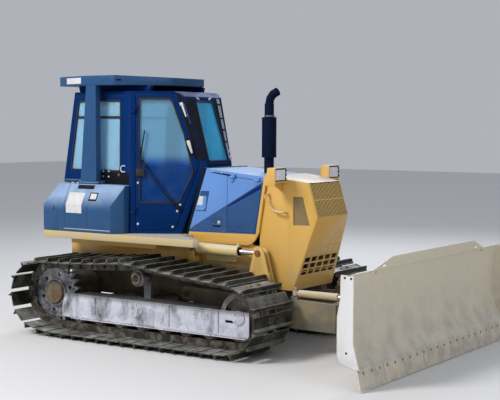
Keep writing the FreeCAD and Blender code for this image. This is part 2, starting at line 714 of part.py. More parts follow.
DOOR_LINE = ((20, 1165), (447, 1165), (700, 1845), (700, 2027), (496, 2634), (20, 2634))
DOOR_WINDOW = ((64, 1455), (482, 1455), (636, 1770), (630, 1830), (540, 2200), (402, 2580), (54, 2580))
WALL = 40.0

cab_outer = cab_body(0.0)
cab_inner = cab_body(WALL)
cab = cab_outer.cut(cab_inner)
FLOOR_TOP, CEILING = CAB_FLOOR + WALL, CAB_TOP - WALL
cab_plates = [cab.common(box(-1000, 3000, -1000, 1000, CAB_FLOOR - 1, FLOOR_TOP)),
              cab.common(box(-1000, 3000, -1000, 1000, CEILING, CAB_TOP + 1))]
cab = cab.common(box(-1000, 3000, -1000, 1000, FLOOR_TOP + SEAT, CEILING - SEAT))


HINGE_AT, HINGE_OUT, HINGE_PIN = 8.0, 16.0, 8.0
HINGE_ZS = (1380.0, 2460.0)


def hinge_point(s, z):
    return door_point(s, HINGE_AT, z) + door_normal(s) * HINGE_OUT


def hinge_bar(s, radius, z0, z1):
    return rod(radius, tuple(hinge_point(s, z0)), tuple(hinge_point(s, z1)))


for s, side in ((-1, "right"), (1, "left")):
    doorway = on_door(s, grown(DOOR_LINE, GAP), 60, 60 + WALL + 25)
    cab = cab.cut(doorway)
    cab_plates = [plate.cut(doorway) for plate in cab_plates]
    leaf = cab_outer.cut(cab_inner).common(on_door(s, DOOR_LINE, 50, 50 + WALL - 2))
    leaf = leaf.cut(on_door(s, rounded(DOOR_WINDOW, 45.0), 60, 140))
    for z in HINGE_ZS:
        lug = on_door(s, ((-34, z - 38), (6, z - 38), (6, z - 14), (-34, z - 14)), 20, 21)
        cab = cab.fuse([lug, hinge_bar(s, HINGE_PIN, z - 38, z + 38)])
        strap = on_door(s, ((26, z - 12), (50, z - 12), (50, z + 36), (26, z + 36)), 9, 10)
        arm = on_door(s, ((4, z - 12), (30, z - 12), (30, z + 36), (4, z + 36)), 9, 8)
        leaf = leaf.fuse([strap, arm, hinge_bar(s, 15.0, z - 12, z + 36)])
        leaf = leaf.cut(hinge_bar(s, HINGE_PIN + 0.05, z - 20, z + 40))
    save("door_" + side, leaf)
    pane = on_door(s, rounded(grown(DOOR_WINDOW, -0.6), 45.0), -14, 6)
    save("door_glass_" + side, pane)

REAR_SIDE_WINDOW = ((-122, 1790), (690, 1790), (675, 2555), (-8, 2555))
for s in (-1, 1):
    y0, y1 = sorted((s * 440, s * 760))
    cab = cab.cut(side_prism(rounded(REAR_SIDE_WINDOW, 45.0), y0, y1))

FRONT_RAKE = (CAB_NOSE[0] - CAB_BROW[0]) / (CAB_BROW[1] - CAB_NOSE[1])
FRONT_N = V(1, 0, FRONT_RAKE)
FRONT_N.normalize()


def front_point(y, z):
    return V(CAB_NOSE[0] - (z - CAB_NOSE[1]) * FRONT_RAKE, y, z)


def on_front(outline, out, depth):
    return prism([tuple(front_point(y, z) + FRONT_N * out) for y, z in outline], tuple(FRONT_N * -depth))


FRONT_WINDOW = ((-186, 1905), (186, 1905), (156, 2550), (-156, 2550))
cab = cab.cut(on_front(rounded(FRONT_WINDOW, 30.0), 60, 140))
front_pane = on_front(rounded(grown(FRONT_WINDOW, -0.6), 30.0), -14, 6)
REAR_WINDOW = ((-480, 1760), (480, 1760), (480, 2520), (-480, 2520))
REAR_SLOPE = 161.0 / (CAB_TOP - 1652.0)
rear_n = V(-1, 0, REAR_SLOPE)
rear_n.normalize()


def on_rear(outline, out, depth):
    pts = [tuple(V(-235 + (z - 1652) * REAR_SLOPE, y, z) + rear_n * out) for y, z in outline]
    return prism(pts, tuple(rear_n * -depth))


cab = cab.cut(on_rear(rounded(REAR_WINDOW, 45.0), 60, 140))
panes = [front_pane, on_rear(rounded(grown(REAR_WINDOW, -0.6), 45.0), -14, 6)]
for s in (-1, 1):
    slab = cab_body(14.0).cut(cab_body(20.0))
    y0, y1 = sorted((s * 440, s * 760))
    window = side_prism(rounded(grown(REAR_SIDE_WINDOW, -0.6), 45.0), y0, y1)
    panes.append(slab.common(window).common(box(-400, 740, y0, y1, 1700, 2600)))
save("cab_shell", cab)
save("cab_floor_and_top", cab_plates)
save("cab_glass", panes)

# roof
roof_plan = ((-250, -600), (305, -780), (700, -780), (1110, -290), (1110, 290), (700, 780), (305, 780), (-250, 600))
roof = plan_prism(roof_plan, 2722, 2828)
roof = clip(roof, (700, 0, 2828), (0.05, 0, 1))
POST_TOP, POST_LOW = (296.0, 432.0), (208.0, 438.0)
roof_parts = [roof]
for s in (-1, 1):
    y0, y1 = sorted((s * 699, s * 776))
    roof_parts.append(side_prism(((POST_LOW[0], BOX_TOP_Z + SEAT), (POST_LOW[1], BOX_TOP_Z + SEAT),
                                  (POST_TOP[1], 2730), (POST_TOP[0], 2730)), y0, y1))
    roof_parts.append(box(184, 462, *sorted((s * 682, s * 780)), BOX_TOP_Z + SEAT, BOX_TOP_Z + 19))
save("roof_and_posts", fuse(roof_parts))

# inside the cab
seat = fuse([box(330, 830, -245, 245, 1480, 1590), box(240, 350, -235, 235, 1500, 2080),
             box(250, 330, -130, 130, 2070, 2230), box(380, 760, -180, 180, CAB_FLOOR + WALL + SEAT, 1485)])
save("operator_seat", seat)
console = []
for s in (-1, 1):
    console.append(box(360, 820, *sorted((s * 300, s * 420)), CAB_FLOOR + WALL + SEAT, 1640))
dash = side_prism(((1140, CAB_FLOOR + WALL + SEAT), (1240, CAB_FLOOR + WALL + SEAT), (1330, 1500), (1340, 1730),
                   (1240, 1700)), -230, 230)
levers = [cyl(14, 200, (760, -350, 1635), (0.15, 0, 1)), cyl(14, 180, (760, 350, 1635), (0.15, 0, 1))]
console = [fuse([console[0], levers[0]]), fuse([console[1], levers[1]]), dash]
save("control_consoles", console)

# lamps and handles
LAMP_REAR, LAMP_FRONT, LAMP_IN, LAMP_OUT = 2537.0, 2666.0, 429.0, 638.0
LAMP_LOW, LAMP_HIGH = 1716.0, 1870.0
lamps = []
for s in (-1, 1):
    shelf = box(LAMP_REAR, LAMP_FRONT, *sorted((s * (NOSE_HALF + SEAT), s * LAMP_OUT)), LAMP_LOW, LAMP_LOW + 14)
    gusset = prism([(2585, s * (NOSE_HALF + SEAT), 1625), (2585, s * (NOSE_HALF + SEAT), LAMP_LOW + 5),
                    (2585, s * 600, LAMP_LOW + 5)], (16, 0, 0))
    housing = side_prism(((LAMP_REAR + 10, LAMP_LOW), (LAMP_FRONT, LAMP_LOW), (LAMP_FRONT, LAMP_HIGH),
                          (LAMP_REAR + 34, LAMP_HIGH)), *sorted((s * LAMP_IN, s * LAMP_OUT)))
    housing = housing.cut(box(LAMP_FRONT - 16, LAMP_FRONT + 5, *sorted((s * (LAMP_IN + 8), s * (LAMP_OUT - 8))),
                              LAMP_LOW + 20, LAMP_HIGH - 8))
    lens = box(LAMP_FRONT - 18, LAMP_FRONT - 5, *sorted((s * (LAMP_IN + 14), s * (LAMP_OUT - 14))),
               LAMP_LOW + 26, LAMP_HIGH - 14)
    skirt = side_prism(((LAMP_REAR, 1688), (LAMP_FRONT, 1690), (LAMP_FRONT, LAMP_LOW + 20), (LAMP_REAR + 14, LAMP_LOW + 20)),
                       *sorted((s * (LAMP_OUT - 8), s * LAMP_OUT)))
    lamps.append(fuse([shelf, gusset, housing, lens, skirt]))
save("head_lamps", lamps)

grab = []
for s in (-1, 1):
    pts = [(2440, s * (NOSE_HALF + SEAT), 1590), (2440, s * (NOSE_HALF + 55), 1590), (2480, s * (NOSE_HALF + 60), 1500),
           (2560, s * (NOSE_HALF + 60), 1430), (2650, s * (NOSE_HALF + 55), 1415), (2650, s * (NOSE_HALF + SEAT), 1415)]
    bars = [rod(11, pts[i], pts[i + 1]) for i in range(5)]
    bars += [rod(10.9, pts[i], tuple(V(*pts[i]) * 1.0 + (V(*pts[i]) - V(*pts[i - 1])).normalize() * 8)) for i in (1, 2, 3)]
    grab.append(fuse(bars))
save("grab_handles", grab)

# push frame
BEAM_X = 3180.0
arms = []
for s in (-1, 1):
    y0, y1 = sorted((s * ARM_IN, s * ARM_OUT))
    arm = side_prism(((PUSH_X - 80, 470), (PUSH_X - 40, 430), (2450, 300), (2800, 250), (BEAM_X + 100, 250),
                      (BEAM_X + 100, 530), (2860, 545), (2450, 520), (PUSH_X + 60, 575), (PUSH_X - 50, 570)), y0, y1)
    arm = arm.fuse(cyl_y(80, PUSH_X, PUSH_Z, y0, y1)).cut(cyl_y(35.0, PUSH_X, PUSH_Z, y0 - 5, y1 + 5))
    plates = []
    for yy in ((LIFT_Y - 42, LIFT_Y - 26), (LIFT_Y + 26, LIFT_Y + 42)):
        plate = side_prism(((2215, 500), (2600, 500), (LIFT_PIN[0] + 70, 1010), (LIFT_PIN[0] + 50, 1045),
                            (LIFT_PIN[0] - 45, 1045), (LIFT_PIN[0] - 60, 960)), *sorted((s * yy[0], s * yy[1])))
        plates.append(plate)
    base = box(2215, 2600, *sorted((s * ARM_IN, s * (LIFT_Y + 42))), 440, 520)
    web = box(2490, 2506, *sorted((s * (LIFT_Y - 42), s * (LIFT_Y + 42))), 500, 800)
    pin = cyl_y(24, LIFT_PIN[0], LIFT_PIN[1], *sorted((s * (LIFT_Y + 40), s * (LIFT_Y + 50))))
    foot = box(ANGLE_REAR_X - 45, ANGLE_REAR_X + 36, *sorted((s * (ANGLE_Y - 30), s * (ANGLE_Y + 30))),
               520, ANGLE_Z - 34)
    stud = cyl(18, 110, (ANGLE_REAR_X, s * ANGLE_Y, ANGLE_Z - 50), (0, 0, 1))
    arms += [arm] + plates + [base, web, pin, foot, stud]
beam = box(BEAM_X, BEAM_X + 100, -ARM_OUT, ARM_OUT, 250, 530)
knuckle = plan_prism(((BEAM_X + 90, -200), (ANGLE_X - 75, -85), (ANGLE_X - 75, 85), (BEAM_X + 90, 200)), 280, 500)
knuckle = knuckle.cut(cyl(80, 140, (ANGLE_X, 0, 320), (0, 0, 1)))
lugs = [plan_prism(((ANGLE_X - 105, -90), (ANGLE_X, -70), (ANGLE_X + 50, -40), (ANGLE_X + 50, 40), (ANGLE_X, 70),
                    (ANGLE_X - 105, 90)), z0, z1) for z0, z1 in ((280, 325), (455, 500))]
pivot = cyl(38, 240, (ANGLE_X, 0, 270), (0, 0, 1))
push = fuse(arms + [beam, knuckle] + lugs + [pivot])
save("push_frame", push)

# blade carrier between push frame and blade
boss = cyl(72, 118, (ANGLE_X, 0, 331), (0, 0, 1))
bar = box(BAR_REAR, BAR_FRONT, -560, 560, 300, 560)
neck = box(ANGLE_X + 45, BAR_REAR + 10, -60, 60, 331, 449)
core = fuse([boss, neck]).cut(cyl(38.08, 140, (ANGLE_X, 0, 320), (0, 0, 1)))
carrier_parts = [core, bar]
for s in (-1, 1):
    ear_y = sorted((s * (ANGLE_Y - 30), s * (ANGLE_Y + 50)))
    carrier_parts.append(box(ANGLE_PIN_X - 40, BAR_REAR + 20, *ear_y, 540, ANGLE_Z - 28))
    carrier_parts.append(box(ANGLE_PIN_X - 40, BAR_FRONT, *ear_y, ANGLE_Z + 27, ANGLE_Z + 40))
    carrier_parts.append(box(BAR_FRONT - 25, BAR_FRONT, *ear_y, 550, ANGLE_Z + 30))
    carrier_parts.append(cyl(18, 14, (ANGLE_PIN_X, s * (ANGLE_Y + 10), ANGLE_Z + 38), (0, 0, 1)))
mast = box(BAR_REAR + 10, BAR_FRONT, TILT_REAR_Y - 60, TILT_REAR_Y + 60, 550, TILT_CYL_Z + 40)
carrier_parts += [mast, cyl(60, 150, (BAR_FRONT - 5, 0, TILT_Z), (1, 0, 0)),
                  cyl(45, 225, (BAR_FRONT + 60, 0, TILT_Z), (1, 0, 0))]
carrier_parts.append(cyl(24, 230, (BAR_FRONT - 10, TILT_REAR_Y, TILT_CYL_Z), (1, 0, 0)))
carrier_parts.append(cyl(38, 160, (BAR_FRONT - 10, TILT_REAR_Y, TILT_CYL_Z), (1, 0, 0)))
save("blade_carrier", fuse(carrier_parts))

# blade
FRONT_ARC = ((4178, 190), (4075, 330), (4030, 500), (4022, 680), (4048, 880), (4095, 1010), (4125, 1112))
back = [(x - 14, z) for x, z in FRONT_ARC]
board = side_prism(list(FRONT_ARC) + back[::-1], -BLADE_HALF, BLADE_HALF)
crown = [(-BLADE_HALF - 50, 1010), (-1246, 1010), (-912, 1112), (912, 1112), (1246, 1010), (BLADE_HALF + 50, 1010)]
above = prism([(3800, y, z) for y, z in crown] + [(3800, BLADE_HALF + 50, 1400), (3800, -BLADE_HALF - 50, 1400)],
              (600, 0, 0))
edge = side_prism(((4158, 200), (4205, 8), (4222, 8), (4178, 200)), -BLADE_HALF, BLADE_HALF)
stiff = side_prism(((4018, 250), (4150, 205), (4168, 190), (4170, 150), (4000, 200), (3965, 240), (3965, 620),
                    (4012, 690), (4012, 600), (3985, 600), (3985, 260)), -1560, 1560)
top_rail = side_prism(((4040, 860), (4052, 905), (4095, 1000), (4060, 1005), (4010, 925), (4012, 870)), -1560, 1560)
ribs = []
for y in (-1500, -1050, -560, 560, 1050, 1500):
    ribs.append(side_prism(((3970, 610), (4012, 610), (4012, 690), (4035, 870), (4015, 880), (3985, 700)), y - 8, y + 8))
ends = []
for s in (-1, 1):
    ends.append(side_prism(((4010, 1008), (4139, 1008), (4139, 700), (4139, 420), (4200, 190), (4150, 190),
                            (4000, 230), (3975, 300), (3975, 640), (4005, 800)),
                           *sorted((s * (BLADE_HALF - 14), s * BLADE_HALF))))
boss_plate = [box(TILT_X + 70, TILT_X + 230, -180, 180, 330, 352),
              box(TILT_X + 70, TILT_X + 230, -180, 180, 508, 530)]
socket = cyl(86, 160, (TILT_X + 70, 0, TILT_Z), (1, 0, 0))
clev = [box(TILT_CYL_X + 27, 4020, TILT_PIN_Y - 45, TILT_PIN_Y + 45, TILT_CYL_Z - 45, TILT_CYL_Z + 60),
        box(TILT_CYL_X - 40, TILT_CYL_X + 40, TILT_PIN_Y - 45, TILT_PIN_Y + 45, TILT_CYL_Z + 46, TILT_CYL_Z + 60),
        box(TILT_CYL_X - 40, TILT_CYL_X - 27, TILT_PIN_Y - 45, TILT_PIN_Y + 45, TILT_CYL_Z - 45, TILT_CYL_Z + 60),
        cyl(20, 12, (TILT_CYL_X - 50, TILT_PIN_Y, TILT_CYL_Z), (1, 0, 0)),
        box(3985, 4014, TILT_PIN_Y - 45, TILT_PIN_Y + 45, 600, TILT_CYL_Z - 30)]
blade = fuse([board, stiff, top_rail, edge] + ribs + ends + boss_plate + [socket] + clev)
blade = blade.cut(cyl(45.08, 190, (TILT_X + 40, 0, TILT_Z), (1, 0, 0)))
blade = blade.cut(above)
for s in (-1, 1):
    for y, z in ((1190, 985), (1030, 1035)):
        slot = box(3980, 4200, *sorted((s * (y - 35), s * (y + 35))), z - 10, z + 10)
        blade = blade.cut(slot)
save("blade", blade)


# cylinders
def cylinder_pair(start, end, radius, rod_radius, share, across, eye, thick, back, bore_from, tail):
    # barrel with its eye at the start pin, rod with its eye at the end pin; the barrel's body begins at back,
    # its bore at bore_from and the rod's inner end lies at tail, all measured from the start pin
    a, b = V(*start), V(*end)
    u = b - a
    length = u.Length
    u.normalize()
    w = V(*across)
    w.normalize()
    split = length * share
    barrel = Part.makeCylinder(radius, split - back, a + u * back, u)
    neck = Part.makeCylinder(thick / 2.0 - 1.0, back + 4, a, u)
    ring_a = Part.makeCylinder(eye, thick, a - w * (thick / 2.0), w)
    barrel = fuse([barrel, neck, ring_a])
    barrel = barrel.cut(Part.makeCylinder(PIN_R[eye] + 0.05, thick + 4, a - w * (thick / 2.0 + 2), w))
    bore = Part.makeCylinder(rod_radius + 0.05, split, a + u * bore_from, u)
    barrel = barrel.cut(bore)
    stem = Part.makeCylinder(rod_radius, length - tail - eye * 0.5, a + u * tail, u)
    ring_b = Part.makeCylinder(eye, thick, b - w * (thick / 2.0), w)
    stem = fuse([stem, ring_b])
    return barrel, stem


PIN_R = {42.0: 24.0, 32.0: 18.0, 35.0: 24.0}
for s, side in ((-1, "right"), (1, "left")):
    barrel, stem = cylinder_pair((LIFT_REAR[0], s * LIFT_Y, LIFT_REAR[1]), (LIFT_PIN[0], s * LIFT_Y, LIFT_PIN[1]),
                                 58.0, 25.0, 0.70, (0, 1, 0), 42.0, 44.0, 62.0, 72.0, 240.0)
    save("lift_barrel_" + side, barrel)
    save("lift_rod_" + side, stem)
    barrel, stem = cylinder_pair((ANGLE_REAR_X, s * ANGLE_Y, ANGLE_Z), (ANGLE_PIN_X, s * (ANGLE_Y + 10), ANGLE_Z),
                                 36.0, 18.0, 0.645, (0, 0, 1), 32.0, 44.0, 46.0, 56.0, 256.0)
    save("angle_barrel_" + side, barrel)
    save("angle_rod_" + side, stem)
barrel, stem = cylinder_pair((TILT_CYL_X, TILT_REAR_Y, TILT_CYL_Z), (TILT_CYL_X, TILT_PIN_Y, TILT_CYL_Z),
                             38.0, 19.0, 0.66, (1, 0, 0), 35.0, 44.0, 48.0, 90.0, 170.0)
save("tilt_barrel", barrel)
save("tilt_rod", stem)
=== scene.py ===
import json
import math

import bpy
import bmesh
from mathutils import Matrix, Vector

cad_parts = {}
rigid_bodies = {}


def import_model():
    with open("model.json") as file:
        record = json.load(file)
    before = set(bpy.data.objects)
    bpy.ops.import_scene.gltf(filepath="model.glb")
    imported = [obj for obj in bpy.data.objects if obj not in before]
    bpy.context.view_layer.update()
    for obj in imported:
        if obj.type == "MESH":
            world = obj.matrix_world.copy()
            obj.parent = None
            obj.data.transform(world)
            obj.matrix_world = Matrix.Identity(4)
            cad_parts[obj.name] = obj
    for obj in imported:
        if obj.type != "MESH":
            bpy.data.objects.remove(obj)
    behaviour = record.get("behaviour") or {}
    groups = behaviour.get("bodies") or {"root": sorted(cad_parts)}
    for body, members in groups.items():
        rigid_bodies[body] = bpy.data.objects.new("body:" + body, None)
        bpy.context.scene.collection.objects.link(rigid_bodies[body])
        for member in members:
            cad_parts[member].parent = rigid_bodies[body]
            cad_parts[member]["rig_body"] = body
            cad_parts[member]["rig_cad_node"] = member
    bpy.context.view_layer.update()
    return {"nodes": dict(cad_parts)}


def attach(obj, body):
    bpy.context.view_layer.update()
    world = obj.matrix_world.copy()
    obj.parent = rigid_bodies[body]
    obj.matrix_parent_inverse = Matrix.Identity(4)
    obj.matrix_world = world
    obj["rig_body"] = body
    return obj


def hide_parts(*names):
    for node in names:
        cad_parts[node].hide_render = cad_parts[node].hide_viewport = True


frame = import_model()

# All lengths are in metres. Pieces are drawn forward of the sprocket end, and the machine's middle
# lies MID ahead of it.
MID = 1.831
EVEN = (1.0, 1.0, 1.0)
UP, OUT = (0, 0, 1), (0, -1, 0)  # OUT is outward on the right side


def clear_selection():
    if bpy.context.mode != "OBJECT":
        bpy.ops.object.mode_set(mode="OBJECT")
    bpy.ops.object.select_all(action="DESELECT")


# steps that build a finish from nodes

def feed(tree, socket, value):
    if isinstance(value, bpy.types.NodeSocket):
        tree.links.new(value, socket)
    else:
        socket.default_value = value


def node(tree, kind, inputs=None, **settings):
    """A node with its settings; an input takes a value or another node's output."""
    made = tree.nodes.new(kind)
    for key, value in settings.items():
        setattr(made, key, value)
    for key, value in (inputs or {}).items():
        feed(tree, made.inputs[key], value)
    return made


def place_of(tree, stretch=EVEN):
    where = node(tree, "ShaderNodeTexCoord").outputs["Object"]
    if stretch == EVEN:
        return where
    return node(tree, "ShaderNodeMapping", {"Scale": stretch, "Vector": where}).outputs["Vector"]


def split_of(tree, source):
    return node(tree, "ShaderNodeSeparateXYZ", {"Vector": source}).outputs


def height_of(tree):
    return split_of(tree, place_of(tree))["Z"]


def facing_up(tree):
    return split_of(tree, node(tree, "ShaderNodeNewGeometry").outputs["Normal"])["Z"]


def cloud(tree, size, detail=4.0, stretch=EVEN, rough=0.55):
    return node(tree, "ShaderNodeTexNoise", {"Scale": size, "Detail": detail, "Roughness": rough,
        "Vector": place_of(tree, stretch)}).outputs["Fac"]


def band(tree, value, low, high, out_low=0.0, out_high=1.0):
    return node(tree, "ShaderNodeMapRange", {"Value": value, "From Min": low, "From Max": high,
        "To Min": out_low, "To Max": out_high}, interpolation_type="SMOOTHSTEP").outputs["Result"]


def combine(tree, how, a, b):
    return node(tree, "ShaderNodeMath", {0: a, 1: b}, operation=how, use_clamp=True).outputs[0]


def times(tree, a, b):
    return combine(tree, "MULTIPLY", a, b)


def layer(tree, share, under, over):
    mix = node(tree, "ShaderNodeMix", {"Factor": share}, data_type="RGBA")
    for socket, value in zip([s for s in mix.inputs if s.type == "RGBA"], (under, over)):
        feed(tree, socket, (*value, 1.0) if isinstance(value, tuple) else value)
    return [s for s in mix.outputs if s.type == "RGBA"][0]


def worn_edge(tree, reach):
    # bright where a rounded normal departs from the flat one
    soft = node(tree, "ShaderNodeBevel", {"Radius": reach}, samples=6).outputs["Normal"]
    true = node(tree, "ShaderNodeNewGeometry").outputs["Normal"]
    dot = node(tree, "ShaderNodeVectorMath", {0: soft, 1: true}, operation="DOT_PRODUCT")
    return band(tree, dot.outputs["Value"], 0.97, 0.80)


def start_finish(name):
    finish = bpy.data.materials.new(name)
    finish.use_nodes = True
    return finish, finish.node_tree, finish.node_tree.nodes["Principled BSDF"].inputs


def close_finish(tree, skin, colour, rough, bump=None, **plain):
    """Wires colour, roughness and relief (value, depth, strength), and sets the shader's plain values."""
    feed(tree, skin["Base Color"], colour)
    feed(tree, skin["Roughness"], rough)
    if bump:
        made = node(tree, "ShaderNodeBump", {"Height": bump[0], "Distance": bump[1], "Strength": bump[2]})
        feed(tree, skin["Normal"], made.outputs["Normal"])
    for key, value in plain.items():
        skin[key.replace("_", " ")].default_value = value


def machine_paint(name, colour, shade, dust_and_shade, dirt_and_shade_high, dirt_and_shade_low, chipped, chip_share=0.35, rough=0.34,
        top_dust_and_sheen=0.5, streaks=0.25, coat=0.25, top_tone=None, low_share=1.0, crease=None,
        top_from=(0.35, 0.90), shine=0.5, cover=0.0):
    """Sheet-metal paint: uneven tone, rain streaks, dust that thickens towards the ground (on the hull and
    push frame also a painted shade), a top tone on upward faces (settled dust on yellow paint, a painted
    sky sheen on blue paint; on the hood also a painted sheen above the pressed line), worn edges.
    """
    finish, tree, skin = start_finish(name)
    tone = layer(tree, cloud(tree, 1.3, 3.0), colour, shade)
    if crease:
        # a painted sheen: lighter blue above the pressed line of the panel, for the sky light the upper
        # panel catches
        start_x, start_z, rise, sheen_tone = crease
        spot = split_of(tree, place_of(tree))
        along = node(tree, "ShaderNodeMath", {0: spot["X"], 1: -rise, 2: start_x * rise - start_z},
                     operation="MULTIPLY_ADD")
        over = node(tree, "ShaderNodeMath", {0: along.outputs[0], 1: spot["Z"]}, operation="ADD")
        tone = layer(tree, band(tree, over.outputs[0], -0.004, 0.010, 0.0, 0.9), tone, sheen_tone)
    rain = band(tree, cloud(tree, 9.0, 5.0, (6.0, 6.0, 0.35)), 0.52, 0.80, 0.0, streaks)
    tone = layer(tree, rain, tone, dust_and_shade)
    patch = band(tree, cloud(tree, 5.5, 6.0), 0.30, 0.72, cover, 1.0)
    # darker towards the ground: dust, and on the hull and push frame a painted shade low down
    low_dirt_and_shade = times(tree, times(tree, band(tree, height_of(tree), dirt_and_shade_high, dirt_and_shade_low), patch), low_share)
    tone = layer(tree, low_dirt_and_shade, tone, dust_and_shade)
    # upward faces take the top tone: settled dust on the yellow and pale paints, a painted sky sheen on the
    # blue paints
    settled_dust_and_sheen = times(tree, band(tree, facing_up(tree), *top_from),
        band(tree, cloud(tree, 7.0, 5.0), 0.25, 0.75, 0.65 * top_dust_and_sheen, top_dust_and_sheen))
    tone = layer(tree, settled_dust_and_sheen, tone, top_tone or dust_and_shade)
    edge = times(tree, worn_edge(tree, 0.006), band(tree, cloud(tree, 22.0, 6.0), 0.44, 0.60, 0.0,
        chip_share))
    dull = combine(tree, "MAXIMUM", combine(tree, "MAXIMUM", low_dirt_and_shade, settled_dust_and_sheen), cloud(tree, 14.0, 4.0))
    uneven = combine(tree, "ADD", times(tree, cloud(tree, 3.0, 2.0), 0.5),
        times(tree, low_dirt_and_shade, cloud(tree, 90.0, 4.0)))
    close_finish(tree, skin, layer(tree, edge, tone, chipped), band(tree, dull, 0.30, 0.95, rough, 0.82),
                 (uneven, 0.0025, 0.35), Coat_Weight=coat, Coat_Roughness=0.25, Specular_IOR_Level=shine)
    return finish


def muddy_steel(name, metal, mud, shine, mud_low, mud_high, size, stretch=EVEN, top_tone=None,
        less_mud_and_shade_above=None):
    """Bare or rusty steel with dried mud on it; rubbed edges are brighter."""
    finish, tree, skin = start_finish(name)
    rust = layer(tree, cloud(tree, 11.0, 6.0), metal, tuple(c * 0.45 for c in metal))
    cake = band(tree, cloud(tree, size, 8.0, stretch, rough=0.62), mud_low, mud_high)
    if less_mud_and_shade_above:
        # the part above this height keeps less mud and is darker: a painted shade under the track's top run
        cake = times(tree, cake, band(tree, height_of(tree), *less_mud_and_shade_above, 0.12, 1.0))
    tone = layer(tree, cake, rust, layer(tree, cloud(tree, 36.0, 6.0), mud, tuple(c * 0.62 for c in mud)))
    # upward faces take a lighter tone: mud lying on them, and on the track shoes a painted lighter top
    # against darker sides
    if top_tone:
        lying_mud_and_top_light = times(tree, band(tree, facing_up(tree), 0.25, 0.85),
                      band(tree, cloud(tree, 9.0, 5.0), 0.3, 0.7, 0.4, 0.95))
        tone = layer(tree, lying_mud_and_top_light, tone, top_tone)
    edge = times(tree, worn_edge(tree, 0.010), band(tree, cloud(tree, 18.0, 5.0), 0.35, 0.62))
    feed(tree, skin["Metallic"], times(tree, combine(tree, "SUBTRACT", 1.0, cake), 0.65))
    lumps = combine(tree, "ADD", times(tree, cake, 0.5), times(tree, cloud(tree, 60.0, 6.0), 0.4))
    close_finish(tree, skin, layer(tree, edge, tone, shine), band(tree, cake, 0.0, 1.0, 0.48, 0.95),
                 (lumps, 0.006, 0.7))
    return finish


def plain_steel(name, colour, rough, dirt, share=0.25, metallic=1.0):
    finish, tree, skin = start_finish(name)
    grime = band(tree, cloud(tree, 16.0, 5.0), 0.5, 0.72, 0.0, share)
    close_finish(tree, skin, layer(tree, grime, colour, dirt),
                 band(tree, cloud(tree, 40.0, 3.0), 0.2, 0.8, rough * 0.7, min(1.0, rough * 1.5)),
                 (cloud(tree, 120.0, 3.0), 0.0004, 0.3), Metallic=metallic)
    return finish


def window_glass(name, tint, rough, clear, other, along, spread):
    """Tinted glass with faint smears; a second colour takes over along one direction (on the door glass, a
    painted sky reflection on the upper pane).
    """
    finish, tree, skin = start_finish(name)
    tone = layer(tree, band(tree, split_of(tree, place_of(tree))[along], *spread), tint, other)
    smear = band(tree, cloud(tree, 7.0, 5.0), 0.35, 0.75, 0.0, 0.10)
    close_finish(tree, skin, layer(tree, smear, tone, (0.75, 0.85, 0.95)),
                 band(tree, cloud(tree, 25.0, 4.0), 0.3, 0.8, rough, rough + 0.10),
                 Transmission_Weight=clear, IOR=1.25, Specular_IOR_Level=0.3)
    return finish


def moulded_plastic(name, colour, rough=0.55, grain=260.0, depth=0.0006):
    finish, tree, skin = start_finish(name)
    close_finish(tree, skin, layer(tree, cloud(tree, 12.0, 4.0), colour, tuple(c * 0.6 for c in colour)),
                 band(tree, cloud(tree, 30.0, 4.0), 0.2, 0.8, rough * 0.85, min(1.0, rough * 1.2)),
                 (cloud(tree, grain, 2.0), depth, 0.5))
    return finish


# finishes of this machine
BARE_BROWN, BARE_GREY, BARE_TAN = (0.24, 0.15, 0.08), (0.30, 0.27, 0.25), (0.35, 0.27, 0.17)
PALE_DUST, DARK_DUST = (0.62, 0.61, 0.60), (0.34, 0.33, 0.30)
CREASE_X, CREASE_Z = 1.475, 1.200
YELLOW = machine_paint("yellow_paint", (0.66, 0.385, 0.075), (0.60, 0.345, 0.065), (0.50, 0.36, 0.17), 1.35,
    0.45, BARE_BROWN, top_dust_and_sheen=0.85, top_tone=(0.60, 0.61, 0.66))
LIFT_PAINT = machine_paint("lift_cylinder_paint", (0.66, 0.49, 0.19), (0.60, 0.46, 0.20),
    (0.60, 0.55, 0.44), 1.35, 0.45, BARE_BROWN, top_dust_and_sheen=0.7, top_tone=(0.66, 0.66, 0.66), coat=0.05)
DECK_PAINT = machine_paint("deck_yellow", (0.56, 0.42, 0.17), (0.50, 0.38, 0.16), (0.44, 0.40, 0.33), 1.40,
    0.90, BARE_BROWN, top_dust_and_sheen=0.95, top_tone=(0.40, 0.40, 0.39), coat=0.05)
PALE_YELLOW = machine_paint("dusty_yellow", (0.56, 0.41, 0.18), (0.48, 0.36, 0.19), (0.36, 0.32, 0.27), 1.1,
    0.25, (0.30, 0.20, 0.12), 0.6, 0.5, 0.8, coat=0.05, top_tone=PALE_DUST)
BLADE_PAINT = machine_paint("scoured_blade_paint", (0.66, 0.58, 0.42), (0.60, 0.54, 0.43),
    (0.42, 0.38, 0.33), 0.9, 0.05, BARE_GREY, 0.9, 0.45, 0.5, 0.35, 0.0, PALE_DUST)
WHITE_EDGE = machine_paint("white_end_plate", (0.74, 0.74, 0.75), (0.68, 0.68, 0.69), (0.46, 0.44, 0.42),
    0.60, 0.05, BARE_GREY, 0.9, 0.5, coat=0.0, top_tone=PALE_DUST)
# the light blue top tone on upward and slanted faces of the roof, posts and side boxes is a painted sky
# sheen
SLATE_BLUE = machine_paint("slate_blue_paint", (0.016, 0.072, 0.185), (0.013, 0.060, 0.160),
    (0.10, 0.16, 0.25), 1.5, 0.9, (0.20, 0.25, 0.32), top_dust_and_sheen=1.0, streaks=0.08,
    top_tone=(0.27, 0.385, 0.58), low_share=0.3, top_from=(0.15, 0.46), shine=0.25, coat=0.05)
